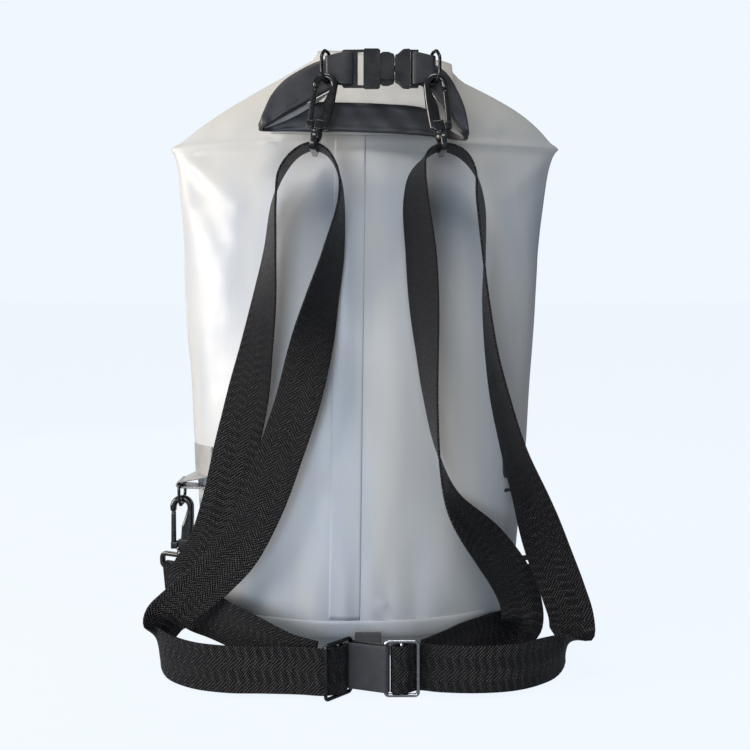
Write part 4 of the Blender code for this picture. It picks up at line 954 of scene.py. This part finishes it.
# The closure: a rounded slab carried along the band's rows, thinner where the roll's laps meet.
def makeClosure():
    mid, arm = closure["y"], closure["armY"]
    turn, full = (mid + arm) / 2, closure["wide"]
    leftTip, rightTip, (runX, runZ) = closure["leftTip"], closure["rightTip"], closure["leftRun"]
    leftArm = leafRows(leftTip, (runX, runZ), (-runZ, runX), arm,
                       [(0.088, 0.0225), (0.072, 0.0262), (0.055, 0.0272), (0.040, 0.0262), (0.026, 0.0210),
                        (0.013, 0.0125), (0.005, 0.0068)])
    runX, runZ = closure["rightRun"]
    rightArm = leafRows(rightTip, (runX, runZ), (runZ, -runX), arm,
                        [(0.005, 0.0058), (0.014, 0.0108), (0.026, 0.0158), (0.040, 0.0192), (0.054, 0.0205)])
    low = leftTip[1]
    rows = leftArm + [
        (leftTip[0] - 0.0004, turn, leftTip[1] + 0.0022, -0.2, 0, 0.98, 0.0046),
        (leftTip[0] + 0.0075, mid - 0.0008, low + 0.0042, 0.0, 0, 1.0, 0.0084),
        (leftTip[0] + 0.0240, mid, low + 0.0092, 0.0, 0, 1.0, 0.0180),
        (leftTip[0] + 0.0420, mid, low + 0.0126, 0.0, 0, 1.0, full),
        (-0.0200, mid, low + 0.0130, 0.01, 0, 1.0, full),
        (0.0200, mid, low + 0.0116, 0.03, 0, 1.0, full),
        (0.0480, mid, low + 0.0094, 0.05, 0, 1.0, full * 0.96),
        (0.0660, mid, low + 0.0044, 0.05, 0, 1.0, 0.0190),
        (0.0800, mid - 0.0008, low - 0.0020, 0.05, 0, 1.0, 0.0100),
        (rightTip[0] + 0.0002, turn, rightTip[1] + 0.0018, 0.3, 0, 0.95, 0.0042),
    ] + rightArm
    rows += [(0.0500, arm, 0.5140, 0.25, 0, 0.97, 0.0225)]
    path = smoothRows(rows, 0.0015)
    q = np.arange(56) / 56 * 2 * np.pi
    c, s = np.cos(q), np.sin(q)
    share = np.sign(c) * np.abs(c) ** 0.34
    u = path[:, 6:7] / 2 * share[None]
    slim = np.clip(path[:, 6:7] / closure["wide"], 0.25, 1) ** 0.6
    v = closure["thick"] / 2 * (np.sign(s) * np.abs(s) ** 0.55)[None] * slim
    laps = np.exp(-(((share - 0.42) / 0.06) ** 2)) + 0.8 * np.exp(-(((share + 0.56) / 0.07) ** 2))
    along = pathLength(path[:, :3])[:, None]
    wave = 0.00035 * np.sin(along * 210 + 3 * share[None]) * np.sin(along * 47 + 1)
    depth = v * (1 - 0.16 * laps[None]) + wave * s[None]
    grid = carried(path[:, :3], path[:, 3:6], np.stack([u, depth], axis=-1))
    piece = joined("closureBand", [(grid, "tube")], "bag", pvcSkin)
    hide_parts("closure_roll")


# A painted highlight in the crease beside each arm: a thin pale leaf from the tip, widest midway, in place of
# light caught on the curled fold.
def makeFoldHighlights():
    share = np.linspace(0, 1, 40)
    q = np.arange(24) / 24 * 2 * np.pi
    for name, tip, run, side, long, wide in (
        ("leftFoldHighlight", (-0.0865, 0.4668), closure["leftRun"], (0.486, -0.874), 0.066, 0.0046),
        ("rightFoldHighlight", (0.0866, 0.4590), closure["rightRun"], (-0.792, -0.61), 0.050, 0.0084),
    ):
        half = wide / 2 * np.sin(np.pi * np.clip(share, 0.015, 0.985)) ** 0.75
        x = tip[0] + run[0] * share * long + side[0] * half * 0.8
        z = tip[1] + run[1] * share * long + side[1] * half * 0.8
        u, v = half[:, None] * np.cos(q)[None], 0.0006 * np.sin(q)[None] * np.ones((40, 1))
        y = -0.0593 + v + 0.0004 * u / wide
        grid = np.stack([x[:, None] + side[0] * u, y, z[:, None] + side[1] * u], axis=-1)
        # This pale leaf is a painted highlight: light caught on the closure's curled fold, not a separate
        # sheet.
        joined(name, [(grid, "tube")], "bag", paleSheetAndHighlightSkin)


# A strip looped round two bars, its height easing from one to the other: a flat section two units
# wide, whose middle is stretched to each row's half height while its round edges keep their size.
def loopGrid(rows, thick, z):
    u, v = stripSection(2.0, thick, 0.0, 12).T
    half = rows[:, 2:3]
    edge = np.sign(u) * (np.abs(u) - 1)
    width = np.where(np.abs(u) > 1 - thick, np.sign(u) * half + edge, u * half)
    points = np.column_stack([rows[:, :2], np.full(len(rows), z)])
    widths = np.tile([0.0, 0.0, 1.0], (len(rows), 1))
    return carried(points, widths, np.stack([width, v[None] + 0 * width], axis=-1), closed=True)


# The two closure tabs: strips round a ring's bar and a buckle's bar. The left one is stretched
# across the buckle's first slot.
def makeTabs():
    thick = closure["tabThick"]
    ringLoop = ringSize["wire"] + 0.0007 + thick / 2
    barLoop = math.hypot(0.0022, 0.0018) + 0.0003 + thick / 2
    y, z = buckle["y"], buckle["z"]
    sides = {
        "left": ((closure["leftRing"], y), ringLoop, closure["ringHalf"],
                 (closure["leftBar"], y), barLoop, closure["buckleHalf"]),
        "right": ((closure["rightBar"], y), barLoop, closure["buckleHalf"],
                  (closure["rightRing"], y), ringLoop, closure["ringHalf"]),
    }
    for side, ends in sides.items():
        grid = loopGrid(roundBars(*ends, 0.0007), thick, z)
        if side == "left":
            grid[..., 0] += closure["reach"] * np.clip((grid[..., 0] - closure["leftBar"]) / 0.0030, 0, 1)
        piece = joined(side + "Tab", [(grid, "loop")], "bag", pvcSkin)
        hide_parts(side + "_closure_tab")


makeClosure()
makeFoldHighlights()
makeTabs()
print("closure made")


# Round wire carried along a flat outline that stands in the X-Z plane.
def wireLoop(outline, radius):
    flat = evenly(outline, 0.0006, closed=True)
    points = np.column_stack([flat[:, 0], np.zeros(len(flat)), flat[:, 1]])
    widths = np.tile([0.0, 1.0, 0.0], (len(points), 1))
    return carried(points, widths, ringSection(radius), closed=True)


# A ring's outline: a straight bar at x = 0 and a bow of four rounded corners out to its depth.
def ringOutline(half, depth):
    corners = [
        (0, -half, 0.0032), (depth * 0.62, -half, 0.0055), (depth, -half * 0.50, 0.0055),
        (depth, half * 0.50, 0.0055), (depth * 0.62, half, 0.0055), (0, half, 0.0032),
    ]
    return roundedOutline(corners, 10)


# A place with a turn about its own axis, a tilt about Y, and a half turn for what faces right.
def placed(origin, turnZ=0.0, tiltY=0.0, flip=False):
    matrix = Matrix.Translation(Vector(origin)) @ Matrix.Rotation(tiltY, 4, "Y")
    matrix = matrix @ Matrix.Rotation(turnZ, 4, "Z")
    return matrix @ Matrix.Rotation(math.pi, 4, "Z") if flip else matrix


sideHang = {
    "left": (-0.1655, -0.0320), "right": (0.1560, -0.0360), "ringZ": 0.152, "half": 0.0132,
    "depth": 0.0195, "loop": 0.0200, "turn": math.radians(24.0),
}


# The two top rings turn about an upright bar, and the two side rings hang from a level one.
def makeRings():
    top = wireLoop(ringOutline(ringSize["half"], ringSize["depth"]), ringSize["wire"])
    side = wireLoop(ringOutline(sideHang["half"], sideHang["depth"]), ringSize["wire"])
    hang = Matrix.Rotation(math.pi / 2, 4, "Z") @ Matrix.Rotation(math.pi / 2, 4, "Y")
    bows = [math.atan2(bow[1], bow[0]) for bow in (leftBow, rightBow)]
    spots = {
        "left_top": placed((closure["leftRing"], buckle["y"], buckle["z"]), bows[0]),
        "right_top": placed((closure["rightRing"], buckle["y"], buckle["z"]), bows[1]),
        "left_side": Matrix.Translation((*sideHang["left"], sideHang["ringZ"])) @ hang,
        "right_side": Matrix.Translation((*sideHang["right"], sideHang["ringZ"])) @ hang,
    }
    for spot, matrix in spots.items():
        grid = moved(top if "top" in spot else side, matrix)
        node = spot + "_ring"
        name = spot.replace("_top", "Top").replace("_side", "Side") + "Ring"
        piece = joined(name, [(grid, "loop")], node + "_body", darkWire)
        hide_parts(node)


# A slider: a rounded wire frame with a straight bar down its middle.
def makeSliders():
    r = slide["wire"] / 2
    halfW, halfH = slide["wide"] / 2 - r, slide["high"] / 2 - r
    corners = [(x * halfW, z * halfH, 0.0026) for x, z in ((-1, -1), (1, -1), (1, 1), (-1, 1))]
    rim = wireLoop(roundedOutline(corners, 8), r)
    bar = turned([(r * 0.94, z) for z in np.linspace(-halfH, halfH, 12)], 18)
    left = placed((slide["leftX"], slide["y"], slide["z"]), slide["leftTurn"])
    right = placed((slide["rightX"], slide["y"], slide["z"]))
    for name, node, matrix, skin, slot in (
        ("leftSlider", "left_slider", left, darkWire, "buckle_plastic"),
        ("rightSlider", "right_slider", right, brightWire, "dark_wire"),
    ):
        parts = [(moved(rim, matrix), "loop"), (moved(bar, matrix), "tube")]
        piece = joined(name, parts, "bag", skin)
        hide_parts(node)


makeRings()
makeSliders()
print("rings and sliders made")


# The hook's spine, head and nose: a rounded bar carried up, over and down to a tapered tip. The
# spine grows inwards by a full amount low down, and above that by what the gate's swing leaves.
# Everything narrows towards the base by a power of the height below 30 mm.
def hookGrid():
    r, head = hook["inside"] + hook["bar"] / 2, hook["headZ"]
    up = np.linspace(0.0012, head - 0.001, 34)
    q = np.linspace(0, np.pi, 34)
    x = np.concatenate([np.full(len(up), r), r * np.cos(q), [-r, -r]])
    z = np.concatenate([up, head + r * np.sin(q), [head - 0.0015, head - 0.0034]])
    points = np.column_stack([x, 0 * x, z])
    widths = np.tile([0.0, 1.0, 0.0], (len(points), 1))
    grow = np.ones(len(points))
    grow[0], grow[1] = 0.90, 0.97
    grow[-4:] = (1.0, 0.98, 0.94, 0.84)
    section = roundedSection(hook["thick"] + 0.0012, hook["bar"] + 0.0006, 0.0025, 6)
    grid = carried(points, widths, section, grow=grow)
    swing = hook["swingRoom"] - (z - hook["pivotZ"]) * math.tan(hook["open"])
    heavy = np.clip(swing, 0, hook["heavy"]) * (x > 0)
    inner = np.clip((points[:, None, 0] - grid[..., 0]) / (hook["bar"] / 2), 0, 1)
    grid[..., 0] -= inner * heavy[:, None]
    narrow = hook["waist"] * np.clip((0.030 - grid[..., 2]) / 0.030, 0, 1) ** 1.5
    grid[..., 0] -= narrow * np.sign(grid[..., 0])
    return grid


# The hook's base: a rounded wedge that narrows downwards, and two cheeks for the gate's knuckle.
def hookBase():
    out, high, steps = hook["inside"] + hook["bar"], hook["baseHigh"] + 0.0012, 16
    rise = np.linspace(0, 1, steps)
    half = 0.0064 + (out - hook["waist"] - 0.0064) * np.sin(rise * np.pi / 2) ** 0.9
    half[0] -= 0.0011
    half[1] -= 0.0003
    deep = (hook["thick"] + 0.0018) / 2 * np.ones(steps)
    deep[0] -= 0.0009
    q = np.arange(40) / 40 * 2 * np.pi
    c, s = np.cos(q)[None], np.sin(q)[None]
    left = np.where(c < 0, np.minimum(half, 0.0036)[:, None], half[:, None])
    x = left * np.sign(c) * np.abs(c) ** 0.55
    y = deep[:, None] * np.sign(s) * np.abs(s) ** 0.55
    wedge = np.stack([x, y, np.broadcast_to((rise * high)[:, None], x.shape)], axis=-1)
    cheek = easedBlock(0.0060, 0.0013, 0.0005, hook["baseHigh"] - 0.0004, 0.0005, 0.0004)
    cheeks = [cheek + np.array([-0.0068, side * 0.00262, 0]) for side in (-1, 1)]
    return [wedge, *cheeks]


# The gate: a tapered bar up to the nose, and a round knuckle on its pin.
def gateParts():
    top = hook["headZ"] - 0.0042
    z = np.linspace(hook["pivotZ"] + 0.0016, top, 24)
    rise = (z - z[0]) / (z[-1] - z[0])
    grow = 1 - 0.10 * rise
    grow[-1], grow[0] = 0.78, 0.9
    points = np.column_stack([np.full(len(z), hook["pivotX"] - 0.0001), 0 * z, z])
    widths = np.tile([0.0, 1.0, 0.0], (len(z), 1))
    bar = carried(points, widths, roundedSection(0.0036, 0.0046, 0.0014, 5), grow=grow)
    barrel = [(0.0022, -0.0015), (0.0026, -0.0012), (0.0027, 0), (0.0026, 0.0012), (0.0022, 0.0015)]
    knuckle = moved(turned(barrel, 24), Matrix.Rotation(math.pi / 2, 4, "X"))
    return [(bar, "tube"), (knuckle + np.array([hook["pivotX"], 0, hook["pivotZ"]]), "tube")]


# The swivel: a wide eye for the webbing under a flanged post with a round head.
def eyeParts():
    half, top, bottom = hook["eyeSlot"] / 2 + hookEye["wire"] / 2, -0.0064, -hookEye["drop"]
    corners = [(x, z, 0.004) for x, z in ((-half, top), (half, top), (half, bottom), (-half, bottom))]
    flat = evenly(roundedOutline(corners, 9), 0.0009, closed=True)
    points = np.column_stack([np.zeros(len(flat)), flat])
    widths = np.tile([1.0, 0.0, 0.0], (len(points), 1))
    eye = carried(points, widths, roundedSection(0.0050, hookEye["wire"], 0.0013, 5), closed=True)
    flange = [(0.0026, top - 0.0034), (0.0040, top - 0.0026), (0.0046, top - 0.0012), (0.0050, top + 0.0006),
              (0.0050, -0.0030), (0.0045, -0.0024), (0.0045, -0.0016), (0.0051, -0.0011), (0.0048, -0.0004),
              (0.0040, -0.0002)]
    above = [(0.0028, 0.0004), (0.0033, 0.0007), (0.0033, 0.0011), (0.0029, 0.0016), (0.0016, 0.0018)]
    head = [(r, hook["baseHigh"] + rise) for r, rise in above]
    return [(eye, "loop"), (turned(flange), "tube"), (turned(head, 24), "tube")]


# Four hooks: the top ones hang from the top rings, and the side ones from the side rings with their
# eyes turned. Each is a hook and a gate on bodies of their own, and an eye that stays with the bag.
def makeHooks():
    side = sideHang["ringZ"] - sideHang["depth"] - restZ
    leftSpot, rightSpot = (*sideHang["left"], side), (*sideHang["right"], side)
    eyeTurn = math.radians(90) - sideHang["turn"]
    spots = {
        "left_top": (placed(leftHook, 0, leftTilt), placed(leftHook, 0, leftTilt)),
        "right_top": (placed(rightHook, 0, rightTilt, True), placed(rightHook, 0, rightTilt, True)),
        "left_side": (placed(leftSpot), placed(leftSpot, eyeTurn)),
        "right_side": (placed(rightSpot, 0, 0, True), placed(rightSpot, -eyeTurn)),
    }
    body = [(hookGrid(), "tube")] + [(grid, "tube") for grid in hookBase()]
    for spot, (matrix, eyeMatrix) in spots.items():
        name = spot.replace("_top", "Top").replace("_side", "Side")
        for ending, node, parts, where, rides in (
            ("Hook", "_hook", body, matrix, spot + "_hook_body"),
            ("Gate", "_hook_gate", gateParts(), matrix, spot + "_gate_body"),
            ("Eye", "_hook_swivel", eyeParts(), eyeMatrix, "bag"),
        ):
            grids = [(moved(grid, where), kind) for grid, kind in parts]
            piece = joined(name + ending, grids, rides, glossSkin)
            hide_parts(spot + node)
        for slot in nodes[spot + "_hook_gate_pin"].material_slots:
            slot.material = darkWire
        if "side" in spot:
            makeSideLoop(name, spot, eyeMatrix)


# A short loop of webbing round an eye's lower bar, pressed flat below it.
def makeSideLoop(name, spot, matrix):
    r = math.hypot(0.0025, hookEye["wire"] / 2) + 0.0004 + web["thick"] / 2
    half = web["wide"] / 2 - 0.001
    rows = roundBars((0, 0), r, half, (sideHang["loop"], 0), 0.0016, half, 0.0009)
    grid = loopGrid(rows, web["thick"], 0.0)
    grid = np.stack([grid[..., 1], grid[..., 2], -hookEye["drop"] - grid[..., 0]], axis=-1)
    along = np.concatenate([pathLength(rows), [0]])
    along[-1] = along[-2] + 0.0009
    across = np.concatenate([stripSection(2.0, web["thick"], 0, 12)[:, 0], [1.0]]) * half + half
    uv = np.stack(np.meshgrid(across, along), axis=-1)
    node = spot + "_loop"
    piece = joined(name + "Loop", [(moved(grid, matrix), "loop")], "bag", weaveSkin, [uv])
    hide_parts(node)


makeHooks()
print("hooks made")


# The anchor: a strip round both sliders' inner bars, tied back to the base's lip by a tongue.
def makeAnchor():
    thick = closure["tabThick"]
    reach = slide["wide"] / 2 - slide["wire"] / 2
    turn = slide["leftTurn"]
    left = np.array([slide["leftX"], slide["y"]]) + reach * np.array([math.cos(turn), math.sin(turn)])
    right = np.array([slide["rightX"] - reach, slide["y"]])
    r = slide["wire"] / 2 + 0.0006 + thick / 2
    half = slide["high"] / 2 - slide["wire"] - 0.0014
    loop = loopGrid(roundBars(left, r, half, right, r, half, 0.0008), thick, slide["z"])
    x, y = (left[0] + right[0]) / 2, (left[1] + right[1]) / 2 + r
    lipDeep = float(bagSize(bag["rimZ"] + 0.004)[1][0])
    lipY = -(lipDeep + 2 * base["gap"] + base["lip"])
    lipY *= (1 - abs((x - bag["rimShift"]) / bag["rimX"]) ** 2.2) ** (1 / 2.2)
    rows = [
        (x, y - 0.0002, slide["z"] + 0.010, 1, 0, 0),
        (x, y + 0.010, slide["z"] + 0.014, 1, 0, 0),
        (x, lipY - 0.008, bag["rimZ"] + 0.003, 1, 0, 0),
        (x, lipY - 0.0016, bag["rimZ"] - 0.001, 1, 0, 0),
    ]
    path = smoothRows(rows, 0.0015)
    tongue = carried(path[:, :3], path[:, 3:], stripSection(0.022, thick))
    piece = joined("anchorStrip", [(loop, "loop"), (tongue, "tube")], "bag", pvcSkin)
    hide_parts("anchor_tab")


# A side tab: a leaf welded on the film that leaves it, goes round the ring's bar and comes back.
def makeSideTab(side, sign, skin):
    spotX, spotY = sideHang[side]
    thick, ringZ = closure["tabThick"], sideHang["ringZ"]
    r = ringSize["wire"] + 0.0006 + thick / 2
    q = np.linspace(np.pi * 0.62, -np.pi * 0.62, 25)
    leafZ = np.linspace(ringZ + 0.034, ringZ + 0.0075, 22)
    barX, barZ = abs(spotX) + r * np.cos(q), ringZ + r * np.sin(q)
    half = 0.0125 - 0.0016 * np.clip((ringZ + 0.012 - leafZ) / 0.01, 0, 1)
    across = np.linspace(-1, 1, 15)

    def filmX(y, z):
        wide, deep, power, shift = (v[:, None] for v in bagSize(z))
        return sign * shift + wide * (1 - np.abs(y / deep) ** power) ** (1 / power)

    leafY = spotY + half[:, None] * across[None]
    leafX = filmX(leafY, leafZ) + 0.0003 + thick / 2
    barHalf = sideHang["half"] - ringSize["wire"] - 0.0006
    barY = np.tile(spotY + barHalf * across, (len(q), 1))
    barXs, barZs = np.repeat(barX[:, None], 15, 1), np.repeat(barZ[:, None], 15, 1)
    endZ = np.array([ringZ - 0.0035, ringZ - 0.0060])
    endY = np.tile(spotY + barHalf * across, (2, 1))
    endX = filmX(endY, endZ) + 0.0003 + thick / 2
    leafZs, endZs = np.repeat(leafZ[:, None], 15, 1), np.repeat(endZ[:, None], 15, 1)

    def bridge(a, b, count):
        t = np.linspace(0, 1, count + 2)[1:-1, None]
        return a[None] * (1 - t) + b[None] * t

    x = np.vstack([leafX, bridge(leafX[-1], barXs[0], 8), barXs, bridge(barXs[-1], endX[0], 8), endX])
    y = np.vstack([leafY, bridge(leafY[-1], barY[0], 8), barY, bridge(barY[-1], endY[0], 8), endY])
    z = np.vstack([leafZs, bridge(leafZs[-1], barZs[0], 8), barZs, bridge(barZs[-1], endZs[0], 8), endZs])
    mid = np.stack([sign * x, y, z], axis=-1)
    along, over = np.gradient(mid, axis=0), np.gradient(mid, axis=1)
    out = unitRows(np.cross(along, over))
    near, far = mid - out * thick / 2, (mid + out * thick / 2)[:, ::-1]
    piece = joined(side + "SideTab", [(np.concatenate([near, far], axis=1), "tube")], "bag", skin)
    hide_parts(side + "_side_tab")


makeAnchor()
makeSideTab("left", -1, paleSheetAndHighlightSkin)
makeSideTab("right", 1, pvcSkin)
print("tabs made")


# A moulded piece with its corners eased: the solid's loose faces are merged, and every edge that
# turns more than 35 degrees gets a narrow round.
def easedPart(name, node, body, width):
    mesh = nodes[node].data.copy()
    mesh.materials.clear()
    work = bmesh.new()
    work.from_mesh(mesh)
    bmesh.ops.remove_doubles(work, verts=work.verts, dist=1e-6)
    bmesh.ops.dissolve_limit(work, angle_limit=math.radians(0.6), verts=work.verts, edges=work.edges)
    work.to_mesh(mesh)
    work.free()
    piece = placePiece(name, mesh, body, plasticSkin)
    mesh.set_sharp_from_angle(angle=math.radians(40))
    edge = piece.modifiers.new("easedEdges", "BEVEL")
    edge.width, edge.segments, edge.limit_method = width, 3, "ANGLE"
    edge.angle_limit = math.radians(35)
    edge.harden_normals = True
    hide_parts(node)


easedPart("buckleSocket", "buckle_female", "bag", 0.00045)
easedPart("bucklePlug", "buckle_male", "bag", 0.00045)
easedPart("upperProng", "release_prong_upper", "release_prong_upper_body", 0.0005)
easedPart("lowerProng", "release_prong_lower", "release_prong_lower_body", 0.0005)
print("buckle made")
